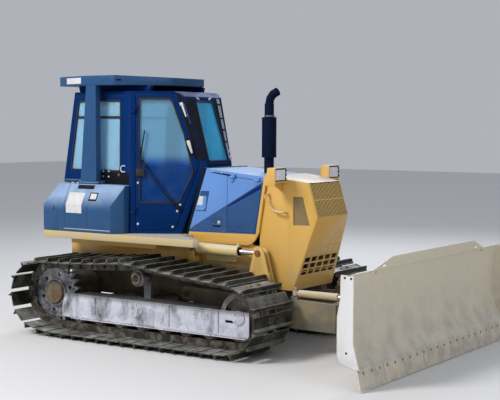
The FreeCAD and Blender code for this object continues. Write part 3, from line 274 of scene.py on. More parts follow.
# the pale blue top tone and the lighter blue above the pressed line are a painted sky sheen on the hood
HOOD_BLUE = machine_paint("hood_blue_paint", (0.020, 0.080, 0.225), (0.016, 0.068, 0.200),
    (0.10, 0.16, 0.27), 1.5, 0.9, (0.22, 0.26, 0.32), top_dust_and_sheen=0.9, streaks=0.06,
    top_tone=(0.42, 0.58, 0.84), low_share=0.25, crease=(CREASE_X - MID, CREASE_Z, 515.0 / 908.0,
    (0.120, 0.265, 0.620)), shine=0.25, coat=0.10)
# the lighter blue top tone on upward faces of the cab is a painted sky sheen
CAB_BLUE = machine_paint("deep_cab_blue", (0.0008, 0.024, 0.125), (0.0006, 0.019, 0.100),
    (0.004, 0.036, 0.11), 1.6, 0.9, (0.08, 0.13, 0.22), rough=0.40, streaks=0.04, coat=0.0,
    top_tone=(0.05, 0.11, 0.24), low_share=0.3, shine=0.05)
NAVY = machine_paint("exhaust_navy", (0.0006, 0.006, 0.030), (0.0005, 0.004, 0.018), (0.010, 0.012, 0.020),
    2.0, 1.6, (0.05, 0.05, 0.06), rough=0.55, streaks=0.05, coat=0.0, shine=0.08)
BLACK = machine_paint("black_paint", (0.0025, 0.003, 0.006), (0.004, 0.005, 0.008), (0.04, 0.04, 0.045),
    1.5, 0.9, (0.10, 0.10, 0.11), rough=0.5, streaks=0.05, coat=0.0, low_share=0.4, shine=0.15)
GRILLE_BROWN = machine_paint("grille_brown", (0.235, 0.160, 0.062), (0.20, 0.138, 0.055),
    (0.22, 0.17, 0.09), 1.7, 1.2, BARE_TAN, rough=0.6, streaks=0.2, coat=0.0, low_share=0.5)
SLAT_PAINT = machine_paint("grille_slat_paint", (0.80, 0.53, 0.15), (0.72, 0.47, 0.14), (0.50, 0.38, 0.20),
    1.5, 1.2, BARE_TAN, rough=0.5, streaks=0.2, coat=0.0, low_share=0.4)
# the dark lower part of the push frame is dried mud and a painted shade under the machine's front
PUSH_MUD_AND_SHADE = machine_paint("push_frame_mud_and_shade", (0.62, 0.40, 0.11), (0.56, 0.36, 0.11), (0.135, 0.130, 0.105),
    0.78, 0.56, (0.26, 0.20, 0.14), 0.4, 0.6, 0.7, coat=0.0, top_tone=DARK_DUST, cover=0.78)
# the near-black low part of the hull, below 0.78–0.93 m, is a painted shade under the track's top run
HULL_PAINT = machine_paint("hull_yellow_painted_shade_low", (0.66, 0.385, 0.075), (0.60, 0.345, 0.065), (0.040, 0.036, 0.030),
    0.93, 0.78, BARE_BROWN, top_dust_and_sheen=0.85, top_tone=DARK_DUST, cover=0.85)
PALE_TRIM = machine_paint("pale_trim", (0.30, 0.38, 0.52), (0.26, 0.33, 0.46), (0.30, 0.32, 0.36), 1.5, 0.9,
    (0.40, 0.42, 0.46), rough=0.3, coat=0.4)
FRAME_MUD = muddy_steel("frame_dried_mud", (0.190, 0.197, 0.200), (0.66, 0.67, 0.78), (0.60, 0.60, 0.64),
    0.28, 0.56, 4.0, (1.6, 1.6, 0.7), less_mud_and_shade_above=(0.47, 0.40))
LEDGE_MUD = muddy_steel("ledge_dried_mud", (0.42, 0.43, 0.46), (0.74, 0.75, 0.84), (0.70, 0.70, 0.74), 0.25,
    0.45, 8.0)
WORN_STEEL = muddy_steel("worn_wheel_steel", (0.13, 0.10, 0.085), (0.26, 0.24, 0.23), (0.40, 0.38, 0.36),
    0.40, 0.60, 9.0)
# the shoes' upward faces get a lighter tone: mud, and a painted lighter top against darker sides
TRACK_STEEL = muddy_steel("track_steel", (0.024, 0.024, 0.019), (0.072, 0.070, 0.052), (0.30, 0.30, 0.27),
    0.42, 0.64, 5.0, top_tone=(0.36, 0.37, 0.345))
CHAIN_STEEL = muddy_steel("chain_steel", (0.060, 0.052, 0.044), (0.150, 0.135, 0.110), (0.34, 0.32, 0.29),
    0.42, 0.62, 8.0)
RUSTY_PIN = muddy_steel("rusty_hub", (0.22, 0.14, 0.065), (0.22, 0.20, 0.15), (0.42, 0.36, 0.22), 0.40,
    0.66, 14.0)
SPROCKET_STEEL = muddy_steel("sprocket_steel", (0.17, 0.18, 0.20), (0.38, 0.385, 0.41), (0.50, 0.52, 0.56),
    0.34, 0.60, 7.0)
RUST_RED = muddy_steel("rust_red", (0.40, 0.125, 0.055), (0.32, 0.17, 0.10), (0.45, 0.22, 0.12), 0.50, 0.70,
    16.0)
DARK_CAST = plain_steel("dark_casting", (0.035, 0.035, 0.035), 0.6, (0.12, 0.10, 0.08), 0.5, 0.3)
BOLT_STEEL = plain_steel("bolt_steel", (0.22, 0.20, 0.18), 0.42, (0.16, 0.12, 0.09), 0.6, 0.8)
ROD_CHROME = plain_steel("rod_chrome", (0.88, 0.88, 0.90), 0.24, (0.30, 0.27, 0.24))
GLASS = window_glass("cab_glass_tint", (0.46, 0.78, 1.0), 0.02, 0.62, (0.08, 0.66, 1.0), "X",
    (0.90 - MID, 1.25 - MID))
# the pale blue above 1.85–2.00 m is a painted sky reflection on the upper door glass; below it is the deep
# blue tint
DOOR_GLASS = window_glass("door_glass_tint", (0.002, 0.15, 0.62), 0.02, 0.80, (0.42, 0.78, 1.0), "Z",
    (1.85, 2.00))
LAMP_SILVER = moulded_plastic("lamp_silver", (0.86, 0.86, 0.93), 0.35)
WHITE_PLATE = moulded_plastic("blank_white_plate", (0.72, 0.72, 0.74), 0.45, 60.0, 0.0004)
SEAT_CLOTH = moulded_plastic("seat_cloth", (0.030, 0.032, 0.038), 0.85, 400.0, 0.0015)
CONSOLE = moulded_plastic("console_plastic", (0.020, 0.020, 0.022))
RUBBER = moulded_plastic("black_rubber", (0.009, 0.009, 0.010), 0.62, 180.0, 0.0004)


def painted(piece, finish):
    piece.data.materials.clear()
    piece.data.materials.append(finish)
    return piece


for finish, names in ((HULL_PAINT, "hull"), (YELLOW,
        "drawbar nose_guard hood_sills head_lamps grab_handles"), (DARK_CAST, "engine_block radiator_core"),
        (GRILLE_BROWN, "grilles"), (BLACK, "bulkhead"), (HOOD_BLUE,
        "hood_shell hood_door_right hood_door_left"), (NAVY, "exhaust_stack"), (DECK_PAINT, "deck"),
        (SLATE_BLUE, "side_boxes roof_and_posts"), (CAB_BLUE,
        "cab_shell cab_floor_and_top door_right door_left"), (GLASS, "cab_glass"),
        (DOOR_GLASS, "door_glass_right door_glass_left"), (SEAT_CLOTH, "operator_seat"),
        (CONSOLE, "control_consoles"), (FRAME_MUD, "track_frames"), (SPROCKET_STEEL, "sprockets"),
        (WORN_STEEL, "idlers track_rollers"), (TRACK_STEEL, "track_right track_left"),
        (BLADE_PAINT, "blade"), (PALE_YELLOW,
        "push_frame blade_carrier angle_barrel_right angle_barrel_left tilt_barrel"),
        (LIFT_PAINT, "lift_barrel_right lift_barrel_left"), (ROD_CHROME,
        "lift_rod_right lift_rod_left angle_rod_right angle_rod_left tilt_rod")):
    for name in names.split():
        painted(frame["nodes"][name], finish)


# bench: starting shapes, edit steps and finishing

def at(x, y, z):
    """A point from lengths counted forward of the sprocket end, to the left, and up."""
    return Vector((x - MID, y, z))


def pick_up(*pieces):
    clear_selection()
    for piece in pieces:
        piece.select_set(True)
    bpy.context.view_layer.objects.active = pieces[0]


def fix_place(name):
    """Names the new object and moves its place, turn and size into its mesh."""
    piece = bpy.context.object
    piece.name = name
    pick_up(piece)
    bpy.ops.object.transform_apply(location=True, rotation=True, scale=True)
    return piece


def start_block(name, low, high):
    clear_selection()
    low, high = Vector(low), Vector(high)
    bpy.ops.mesh.primitive_cube_add(size=1.0, location=(low + high) / 2.0)
    bpy.context.object.scale = high - low
    return fix_place(name)


def start_drum(name, radius, start, end, sides=28, tip=None):
    clear_selection()
    start, end = Vector(start), Vector(end)
    run = end - start
    size = {"vertices": sides, "depth": run.length, "location": (start + end) / 2.0,
            "rotation": run.to_track_quat("Z", "Y").to_euler()}
    if tip is None:
        bpy.ops.mesh.primitive_cylinder_add(radius=radius, **size)
    else:
        bpy.ops.mesh.primitive_cone_add(radius1=radius, radius2=tip, **size)
    return fix_place(name)


def axle(radius, x, z, y0, y1, sides=28, name="axle"):
    """A drum that lies across the machine."""
    return start_drum(name, radius, at(x, y0, z), at(x, y1, z), sides)


def apply_modifier(piece, kind, **settings):
    pick_up(piece)
    bpy.ops.object.modifier_add(type=kind)
    step = piece.modifiers[-1]
    for key, value in settings.items():
        setattr(step, key, value)
    bpy.ops.object.modifier_apply(modifier=step.name)


def soften(piece, width, steps=2, angle=32.0, smooth=40.0):
    apply_modifier(piece, "BEVEL", width=width, segments=steps, limit_method="ANGLE",
        angle_limit=math.radians(angle))
    bpy.ops.object.shade_smooth_by_angle(angle=math.radians(smooth))
    return piece


def soft_block(low, high, width, steps=1):
    return soften(start_block("block", low, high), width, steps)


def open_edit(piece, kind="FACE"):
    pick_up(piece)
    bpy.ops.object.mode_set(mode="EDIT")
    bpy.ops.mesh.select_mode(type=kind)
    deselect()


def close_edit():
    bpy.ops.object.mode_set(mode="OBJECT")


def deselect():
    bpy.ops.mesh.select_all(action="DESELECT")


def choose(piece, test, kind="faces"):
    """Adds the faces, edges or points whose middle and direction pass the test to what is selected."""
    cage = bmesh.from_edit_mesh(piece.data)
    cage.normal_update()
    for part in getattr(cage, kind):
        if kind == "faces":
            spot, way = part.calc_center_median(), part.normal
        elif kind == "edges":
            spot = (part.verts[0].co + part.verts[1].co) / 2.0
            way = (part.verts[1].co - part.verts[0].co).normalized()
        else:
            spot, way = part.co, part.normal
        if test(spot, way):
            part.select_set(True)
    cage.select_flush_mode()
    bmesh.update_edit_mesh(piece.data)


def facing(way, limit=0.9):
    return lambda spot, normal: normal.dot(Vector(way)) > limit


def slice_at(spot, way, **options):
    bpy.ops.mesh.select_all(action="SELECT")
    bpy.ops.mesh.bisect(plane_co=spot, plane_no=way, **options)
    deselect()


def slice_all(axis, places):
    way = Vector((axis == "x", axis == "y", axis == "z"))
    for place in places:
        slice_at(way * place, way)


def resize(factors):
    bpy.ops.transform.resize(value=factors)


def extrude(move):
    bpy.ops.mesh.extrude_region_move(TRANSFORM_OT_translate={"value": move})


def push(piece, test, move, factors=EVEN):
    """Extrudes the faces that pass the test, and widens or narrows their end."""
    deselect()
    choose(piece, test)
    extrude(move)
    if factors != EVEN:
        resize(factors)


def shift(piece, test, move):
    deselect()
    choose(piece, test, "verts")
    bpy.ops.transform.translate(value=move)


def squeeze(piece, test, factors):
    deselect()
    choose(piece, test, "verts")
    resize(factors)


def round_edges(piece, test, offset, segments):
    deselect()
    choose(piece, test, "edges")
    bpy.ops.mesh.bevel(offset=offset, segments=segments, affect="EDGES")


def placed(piece, stand):
    piece.data.transform(stand)
    return piece


def turned(x, y, degrees):
    return Matrix.Translation((x, y, 0.0)) @ Matrix.Rotation(math.radians(degrees), 4, "Z")


def lifted(stand, height):
    return stand @ Matrix.Translation((0, 0, height))


def twin_of(piece, move, name="twin"):
    """A copy with its own mesh, moved by a matrix."""
    pick_up(piece)
    bpy.ops.object.duplicate()
    twin = placed(bpy.context.object, move)
    twin.name = name
    return twin


def mirrored(piece, name):
    twin = twin_of(piece, Matrix.Diagonal((1.0, -1.0, 1.0, 1.0)), name)
    open_edit(twin)
    bpy.ops.mesh.select_all(action="SELECT")
    bpy.ops.mesh.flip_normals()
    close_edit()
    return twin


def joined(pieces, name):
    pick_up(*pieces)
    if len(pieces) > 1:
        bpy.ops.object.join()
    whole = bpy.context.object
    whole.name = name
    return whole


def spread(piece, moves, name):
    """Joined copies of one piece, which is then put away."""
    whole = joined([twin_of(piece, move) for move in moves], name)
    bpy.data.objects.remove(piece)
    return whole


def tube(name, points, radius, closed=False, smooth=True, ring=3):
    clear_selection()
    bpy.ops.curve.primitive_bezier_curve_add()
    line = bpy.context.object.data
    line.splines.clear()
    spline = line.splines.new("NURBS" if smooth else "POLY")
    spline.points.add(len(points) - 1)
    for spot, place in zip(spline.points, points):
        spot.co = (*place, 1.0)
    spline.use_cyclic_u = closed
    if smooth:
        spline.order_u = 3
        spline.use_endpoint_u = not closed
        spline.resolution_u = 6
    line.dimensions = "3D"
    line.bevel_depth = radius
    line.bevel_resolution = ring
    line.use_fill_caps = not closed
    bpy.ops.object.convert(target="MESH")
    bpy.ops.object.shade_smooth_by_angle(angle=math.radians(50))
    return fix_place(name)


def mounted(piece, finish=None, body="machine"):
    """Paints a piece when a finish is given, and lets it ride on its body."""
    if finish is not None:
        painted(piece, finish)
    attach(piece, body)
    return piece


def fit(piece, finish=None, body="machine"):
    """Mounts a piece; one whose name says right gets its mirror on the left."""
    pair = [piece]
    if "right" in piece.name:
        pair.append(mirrored(piece, piece.name.replace("right", "left")))
    for one, place in zip(pair, (body, body.replace("right", "left"))):
        mounted(one, finish, place)
    return pair


def hex_bolt(spot, way, across, high, washer=True):
    """A hexagon head on a washer, standing on a surface."""
    spot, way = Vector(spot), Vector(way).normalized()
    head = soften(start_drum("bolt", across / 2.0, spot, spot + way * high, 6), across * 0.06, 1)
    if not washer:
        return head
    return joined([head, start_drum("washer", across * 0.72, spot, spot + way * high * 0.22, 16)], "bolt")


def bolts_on(name, spots, stand, across, high, washer=True):
    return placed(joined([hex_bolt((x, y, 0.0), UP, across, high, washer) for x, y in spots], name), stand)


def bolt_ring(wheel, face, reach, count, first, across, high, washer=True):
    """Bolts in a circle round a wheel's axle, the first at an angle in degrees."""
    turns = [math.radians(360.0 / count * k + first) for k in range(count)]
    return [hex_bolt(at(wheel[0] + reach * math.cos(a), face, wheel[1] + reach * math.sin(a)), OUT, across,
        high, washer) for a in turns]


def rounded_copy(node_name, width, finish, steps=2):
    """The solid's own shape with its points merged and its edges rounded, shown in its place."""
    source = frame["nodes"][node_name]
    pick_up(source)
    bpy.ops.object.duplicate()
    piece = bpy.context.object
    piece.parent = None
    piece.matrix_world = Matrix.Identity(4)
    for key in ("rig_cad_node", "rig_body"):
        if key in piece:
            del piece[key]
    piece.name = node_name + "_rounded"
    open_edit(piece, "VERT")
    bpy.ops.mesh.select_all(action="SELECT")
    bpy.ops.mesh.remove_doubles(threshold=0.00008)
    bpy.ops.mesh.dissolve_limited(angle_limit=math.radians(0.8))
    close_edit()
    soften(piece, width, steps, 30.0, 35.0)
    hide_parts(node_name)
    return mounted(piece, finish, source["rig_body"])


def stand_on(origin, across, up):
    """The frame of a flat face: along it, up it, and outward."""
    across, up = Vector(across), Vector(up)
    out = across.cross(up).normalized()
    return Matrix(((across.x, up.x, out.x, origin[0]), (across.y, up.y, out.y, origin[1]),
                   (across.z, up.z, out.z, origin[2]), (0.0, 0.0, 0.0, 1.0)))


def corners(outline):
    """Four plain numbers, two low and two high, are short for a rectangle's corners."""
    if isinstance(outline[0], tuple):
        return outline
    x0, y0, x1, y1 = outline
    return (x0, y0), (x1, y0), (x1, y1), (x0, y1)


def sheet_of(name, outline, thick, stand, lift=0.0, edge=0.0):
    """A flat plate with a convex outline, drawn on one of the machine's faces."""
    outline = corners(outline)
    across, up = [p[0] for p in outline], [p[1] for p in outline]
    piece = start_block(name, (min(across), min(up), lift), (max(across), max(up), lift + thick))
    ahead = outline[1:] + outline[:1]
    turn = 1.0 if sum(a[0] * b[1] - b[0] * a[1] for a, b in zip(outline, ahead)) > 0 else -1.0
    open_edit(piece)
    for a, b in zip(outline, ahead):
        way = (turn * (b[1] - a[1]), turn * (a[0] - b[0]), 0.0)
        if abs(way[0]) > 1e-6 and abs(way[1]) > 1e-6:
            slice_at((a[0], a[1], 0.0), way, use_fill=True, clear_outer=True)
    close_edit()
    if edge:
        soften(piece, edge, 1)
    return placed(piece, stand)


def sheets(name, *rows):
    return joined([sheet_of("sheet", *row) for row in rows], name)


def seal_round(name, outline, radius, stand, reach=0.07):
    """A flattened rubber seal laid round a window opening."""
    outline, points = corners(outline), []
    for i, spot in enumerate(outline):
        here = Vector((*spot, 0.0))
        before, after = [Vector((*outline[k % len(outline)], 0.0)) - here for k in (i - 1, i + 1)]
        points += [here + before.normalized() * min(reach, before.length * 0.45), here,
                   here + after.normalized() * min(reach, after.length * 0.45)]
    return placed(tube(name, points, radius, closed=True, ring=2),
        stand @ Matrix.Diagonal((1.0, 1.0, 0.6, 1.0)))


# tracks
SHOES = 41
PIN_SPROCKET = (-0.035, 0.442, 0.3124)
PIN_IDLER = (2.485, 0.400, 0.288)
CARRIER_TOP = (1.178, 0.816)
GAUGE = 0.895


def half_turn(wheel, first):
    turns = [math.radians(first - 3.0 * k) for k in range(61)]
    return [(wheel[0] + wheel[2] * math.cos(a), wheel[1] + wheel[2] * math.sin(a)) for a in turns]


def hanging(start, end, sag):
    shares = [k / 20.0 for k in range(1, 21)]
    return [(start[0] + (end[0] - start[0]) * t, start[1] + (end[1] - start[1]) * t - sag * t * (1 - t))
        for t in shares]


def chain_line():
    """The line of the track pins in side view: sprocket, carrier roller, idler, ground."""
    line = half_turn(PIN_SPROCKET, 270.0)
    idler_top = (PIN_IDLER[0], PIN_IDLER[1] + PIN_IDLER[2])
    line += hanging(line[-1], CARRIER_TOP, 0.060) + hanging(CARRIER_TOP, idler_top, 0.030)
    line += half_turn(PIN_IDLER, 90.0)[1:]
    low = PIN_IDLER[1] - PIN_IDLER[2] - 0.007
    return line + [(PIN_IDLER[0] - 0.2, low), (PIN_SPROCKET[0] + 0.2, low)]


def step_along(line, index, share, chord):
    """The first place on the closed line that lies one link from here."""
    count = len(line)
    here = Vector(line[index]).lerp(Vector(line[(index + 1) % count]), share)
    i = index
    while True:
        a, b = Vector(line[i % count]), Vector(line[(i + 1) % count])
        if (b - here).length >= chord:
            low, high = (share if i == index else 0.0), 1.0
            for _ in range(40):
                mid = (low + high) / 2.0
                if (a.lerp(b, mid) - here).length < chord:
                    low = mid
                else:
                    high = mid
            return i % count, high
        i += 1


def walk(line, chord):
    """The pins along the line at one link length, and whether they pass its end."""
    index, share, passed, pins = 0, 0.0, False, []
    for _ in range(SHOES):
        pins.append(Vector(line[index]).lerp(Vector(line[(index + 1) % len(line)]), share))
        ahead, share = step_along(line, index, share, chord)
        passed = passed or ahead < index
        index = ahead
    return pins, passed


def chain_pins():
    """The link length that just closes the loop, found by halving, and the pins at it."""
    line, low, high = chain_line(), 0.120, 0.220
    for _ in range(40):
        chord = (low + high) / 2.0
        if walk(line, chord)[1]:
            high = chord
        else:
            low = chord
    return walk(line, low)[0], low


PIN_PLACES, LINK = chain_pins()


def link_place(k, side):
    """Where shoe k stands: its rear pin, the run of the link, and outward."""
    a, b = PIN_PLACES[k], PIN_PLACES[(k + 1) % SHOES]
    run = (b - a).normalized()
    spot = at(a.x, side * GAUGE, a.y)
    return Matrix(((run.x, 0.0, -run.y, spot.x), (0.0, 1.0, 0.0, spot.y), (run.y, 0.0, run.x, spot.z),
                   (0.0, 0.0, 0.0, 1.0)))


def model_shoe():
    """One flat shoe with a single tall lug, and its four bolts."""
    plate = start_block("shoe", (0.03 * LINK, -0.350, 0.046), (0.97 * LINK, 0.350, 0.059))
    open_edit(plate)
    slice_all("x", [share * LINK for share in (0.14, 0.72, 0.91)])
    slice_all("y", (-0.29, -0.16, -0.05, 0.07, 0.18, 0.30))
    push(plate, lambda c, n: n.z > 0.9 and 0.72 * LINK < c.x < 0.91 * LINK, (0, 0, 0.046), (0.28, 1, 1))
    # the lug's outer ends and middle are worn lower, and the plate's rear lip is turned down
    shift(plate, lambda p, n: p.z > 0.10 and abs(p.y) > 0.34, (0, 0, -0.005))
    shift(plate, lambda p, n: p.z > 0.10 and abs(p.y) < 0.10, (0, 0, -0.002))
    shift(plate, lambda p, n: p.x < 0.04 * LINK, (0, 0, -0.004))
    close_edit()
    soften(plate, 0.0022, 1, 25.0, 30.0)
    return joined([plate] + [hex_bolt((x * LINK, y, 0.059), UP, 0.026, 0.011, False) for x in (0.30, 0.56)
        for y in (-0.069, 0.069)], "shoe")


def model_link():
    """A pair of chain links with their pin and bush, between two pins."""
    link = start_block("link", (-0.036, 0.060, -0.038), (LINK + 0.036, 0.078, 0.044))
    open_edit(link)
    slice_all("x", (0.32 * LINK, 0.62 * LINK))
    shift(link, lambda p, n: p.x < 0.33 * LINK, (0, -0.0095, 0))
    shift(link, lambda p, n: p.x > 0.61 * LINK, (0, 0.0095, 0))
    round_edges(link, lambda c, w: abs(w.y) > 0.9 and not 0 <= c.x <= LINK, 0.030, 4)
    close_edit()
    soften(link, 0.003, 1, 40.0)
    pin = soften(start_drum("pin", 0.0175, (0, -0.094, 0), (0, 0.094, 0), 14), 0.003, 1)
    bush = soften(start_drum("bush", 0.027, (0, -0.050, 0), (0, 0.050, 0), 16), 0.002, 1)
    return joined([link, mirrored(link, "link"), pin, bush], "link")


shoe, link = model_shoe(), model_link()
for side, word in ((-1, "right"), (1, "left")):
    shoes = joined([twin_of(shoe, link_place(k, side)) for k in range(SHOES)], "track_shoes_" + word)
    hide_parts("track_" + word)
    mounted(shoes, TRACK_STEEL)
    mounted(joined([twin_of(link, link_place(k, side)) for k in range(SHOES)], "track_chain_" + word),
        CHAIN_STEEL)
for spare in (shoe, link):
    bpy.data.objects.remove(spare)

# running gear: sprocket hub and bolts, roller caps and brackets, carrier roller, idler cap
hub = axle(0.132, PIN_SPROCKET[0], PIN_SPROCKET[1], -0.927, -0.944, 40, "sprocket_hub_right")
open_edit(hub)
push(hub, facing(OUT), (0, -0.006, 0), (0.62, 1, 0.62))
push(hub, facing(OUT), (0, -0.016, 0), (0.90, 1, 0.90))
close_edit()
fit(soften(hub, 0.003), RUSTY_PIN)
fit(joined(bolt_ring(PIN_SPROCKET, -0.944, 0.112, 12, 12.0, 0.022, 0.012)
           + bolt_ring(PIN_SPROCKET, -0.921, 0.274, 23, 180.0 / 23 - 90.0, 0.018, 0.009, False),
           "sprocket_bolts_right"), DARK_CAST)

fittings = []
for x in [0.355 + 0.292 * k for k in range(7)]:
    bracket = start_block("bracket", at(x - 0.075, -1.024, 0.190), at(x + 0.075, -1.010, 0.262))
    open_edit(bracket)
    round_edges(bracket, lambda c, w: abs(w.y) > 0.9 and c.z > 0.25, 0.045, 1)
    close_edit()
    fittings += [soften(axle(0.047, x, 0.232, -0.980, -0.9955, 20), 0.004), soften(bracket, 0.003)]
    fittings += [hex_bolt(at(x + s, -1.024, 0.206), OUT, 0.020, 0.010) for s in (-0.052, 0.052)]
fit(joined(fittings, "roller_brackets_right"), FRAME_MUD)

ring = axle(0.060, CARRIER_TOP[0], 0.690, -1.005, -1.014, 28, "carrier_cap_right")
open_edit(ring)
push(ring, facing(OUT), (0, -0.001, 0), (0.66, 1, 0.66))
push(ring, facing(OUT), (0, 0.008, 0))
close_edit()
fit(soften(ring, 0.002), RUSTY_PIN)

# track frame: idler and pivot bolts, stiffening ribs, the tensioner's lid, mud ledge
fittings = [soften(axle(0.075, PIN_IDLER[0], PIN_IDLER[1], -1.0095, -1.022), 0.004)]
fittings += bolt_ring(PIN_IDLER, -1.022, 0.054, 4, 45.0, 0.018, 0.009)
fittings += bolt_ring((1.200, 0.362), -1.022, 0.058, 6, 30.0, 0.020, 0.010)
fittings += [soft_block(at(x - 0.006, -1.0215, 0.230), at(x + 0.006, -1.0095, 0.452), 0.002)
    for x in (0.62, 1.62, 2.24)]
lid = start_block("lid", at(1.92, -1.015, 0.350), at(2.12, -1.0095, 0.440))
open_edit(lid)
round_edges(lid, lambda c, w: abs(w.y) > 0.9, 0.014, 3)
close_edit()
fittings += [soften(lid, 0.0015, 1)] + [hex_bolt(at(x, -1.015, 0.395), OUT, 0.018, 0.009)
    for x in (1.936, 2.104)]
fit(joined(fittings, "track_frame_fittings_right"), FRAME_MUD)
fit(joined([soft_block(at(x0, -1.0275, 0.190), at(x1, -1.0095, 0.200), 0.0025)
    for x0, x1 in ((0.372, 1.146), (1.154, 1.866), (1.874, 2.580))], "track_frame_ledge_right"), LEDGE_MUD)

# rounded sheet metal in place of the plain solids
for name, width, finish in (("roof_and_posts", 0.009, SLATE_BLUE), ("side_boxes", 0.008, SLATE_BLUE),
        ("deck", 0.004, DECK_PAINT), ("hull", 0.006, HULL_PAINT), ("hood_shell", 0.006, HOOD_BLUE),
        ("nose_guard", 0.005, YELLOW), ("cab_shell", 0.006, CAB_BLUE), ("blade", 0.004, BLADE_PAINT),
        ("push_frame", 0.005, PUSH_MUD_AND_SHADE), ("blade_carrier", 0.005, PALE_YELLOW),
        ("track_frames", 0.004, FRAME_MUD), ("head_lamps", 0.003, YELLOW), ("hood_sills", 0.003, YELLOW),
        ("drawbar", 0.004, YELLOW), ("door_right", 0.005, CAB_BLUE), ("door_left", 0.005, CAB_BLUE),
        ("hood_door_right", 0.004, HOOD_BLUE), ("hood_door_left", 0.004, HOOD_BLUE)):
    rounded_copy(name, width, finish)

# the cab's faces
DOOR_TURN = math.radians(34.0)
DOOR_COS, DOOR_SIN = math.cos(DOOR_TURN), math.sin(DOOR_TURN)
ON_DOOR = stand_on((0.900 + 0.0575 * DOOR_SIN - MID, -(0.700 + 0.0575 * DOOR_COS), 0.0),
    (DOOR_COS, DOOR_SIN, 0.0), (-0.05 * DOOR_SIN, 0.05 * DOOR_COS, 1.0))
RAKE = 0.228 / 0.732
ON_FRONT = stand_on((1.540 + 1.868 * RAKE - MID, 0.0, 0.0), (0.0, 1.0, 0.0), (-RAKE, 0.0, 1.0))
ON_SIDE = stand_on((-MID, -0.64136, 0.0), (1.0, -0.12791, 0.0), (0.0, 0.032143, 1.0))
REAR_LEAN = 0.16052
ON_REAR = stand_on((-0.235 - 1.652 * REAR_LEAN - MID, 0.0, 0.0), (0.0, -1.0, 0.0), (REAR_LEAN, 0.0, 1.0))
DOOR = "door_right"

# doors: window seal, dark edge strip, handle in its recess, hold-back
fit(seal_round("door_window_seal_right", ((0.064, 1.455), (0.482, 1.455), (0.636, 1.770), (0.630, 1.830),
    (0.540, 2.200), (0.402, 2.580), (0.054, 2.580)), 0.010, ON_DOOR), RUBBER, DOOR)
fit(sheets("door_edge_strip_right", (((0.654, 1.915), (0.696, 1.915), (0.696, 2.026), (0.654, 2.014)),
    0.003, ON_DOOR), (((0.654, 2.014), (0.696, 2.026), (0.491, 2.629), (0.449, 2.629)), 0.003, ON_DOOR)),
    BLACK, DOOR)
grip = start_block("door_handle_right", (-0.011, -0.072, 0.022), (0.011, 0.072, 0.036))
open_edit(grip)
slice_all("y", (0.028, -0.050))
squeeze(grip, lambda p, n: p.y > 0.027, (1.6, 1, 1))
squeeze(grip, lambda p, n: p.y < -0.07, (0.7, 1, 1))
push(grip, lambda c, n: n.z < -0.9 and abs(c.y) > 0.045, (0, 0, -0.020))
close_edit()
HANDLE_PLACE = ON_DOOR @ turned(0.605, 2.058, 17.9)
fit(placed(soften(grip, 0.004, 3), HANDLE_PLACE), WHITE_PLATE, DOOR)
fit(sheet_of("door_handle_recess_right", ((-0.026, -0.094), (0.026, -0.094), (0.030, 0.094),
    (-0.030, 0.094)), 0.004, HANDLE_PLACE, 0.0, 0.0015), BLACK, DOOR)
HOLD_PLACE = ON_DOOR @ turned(0.534, 2.458, 19.5)
fit(sheets("door_hold_back_right", (((-0.008, -0.080), (0.008, -0.080), (0.012, 0.052), (-0.012, 0.052)),
    0.010, HOLD_PLACE, 0.0, 0.002), (((-0.020, 0.048), (0.018, 0.048), (0.014, 0.084), (-0.018, 0.084)),
    0.014, HOLD_PLACE, 0.0, 0.003)), WHITE_PLATE, DOOR)

# door wiper: two arms, blade, motor and tip; bolts and lock
wiper = [tube("arm", [(x + s, y + s, z) for x, y, z in ((0.486, 1.405, 0.026), (0.300, 1.590, 0.032),
    (0.096, 1.905, 0.026))], 0.0045) for s in (-0.0091, 0.0091)]
bar = start_block("bar", (-0.006, -0.172, 0.012), (0.006, 0.172, 0.024))
open_edit(bar)
slice_all("y", (-0.09, 0.0, 0.09))
shift(bar, lambda p, n: abs(p.y) < 0.02 and p.z > 0.02, (0, 0, 0.006))
push(bar, lambda c, n: n.z < -0.9, (0, 0, -0.010))
squeeze(bar, lambda p, n: p.z < 0.004, (0.25, 1, 1))
close_edit()
wiper += [placed(soften(bar, 0.0012, 1), turned(0.0895, 2.067, -9.7)),
          soften(start_drum("motor", 0.026, (0.486, 1.405, 0.0), (0.486, 1.405, 0.030), 20), 0.005),
          soften(start_drum("tip", 0.014, (0.096, 1.905, 0.014), (0.096, 1.905, 0.034), 14), 0.003)]
fit(placed(joined(wiper, "door_wiper_right"), ON_DOOR), BLACK, DOOR)
fit(bolts_on("door_bolts_right", ((0.500, 1.436), (0.468, 1.370), (0.046, 1.672), (0.046, 1.230),
    (0.420, 1.200)), ON_DOOR, 0.018, 0.010), WHITE_PLATE, DOOR)
lock = start_block("door_lock_right", (0.024, 1.742, 0.0), (0.118, 1.822, 0.022))
open_edit(lock)
push(lock, facing(UP), (0, 0, 0.004), (0.72, 0.6, 1))
close_edit()
fit(placed(soften(lock, 0.004), ON_DOOR), RUBBER, DOOR)

# dark corner glass between door and front pane, with a clipped strip on the far side whose pale colour is a
# painted sky reflection of the dark strip
fit(sheets("cab_corner_strip_right", (((0.710, 1.915), (0.777, 1.915), (0.738, 2.027), (0.710, 2.027)),
    0.003, ON_DOOR), (((0.710, 2.027), (0.738, 2.027), (0.544, 2.592), (0.521, 2.592)), 0.003, ON_DOOR),
    (((-0.228, 1.925), (-0.206, 1.925), (-0.177, 2.572), (-0.326, 2.588)), 0.003, ON_FRONT)), BLACK)
fit(sheet_of("cab_corner_painted_reflection_strip", ((0.190, 1.930), (0.214, 1.930), (0.286, 2.584), (0.236, 2.584)), 0.006,
    ON_FRONT, 0.0, 0.002), PALE_TRIM)
clips = [painted(soft_block((y - 0.026, z - 0.008, 0.0), (y + 0.026, z + 0.008, 0.013), 0.003, 2), BLACK)
         for y, z in ((0.214, 2.110), (0.229, 2.241), (0.242, 2.368), (0.257, 2.520))]
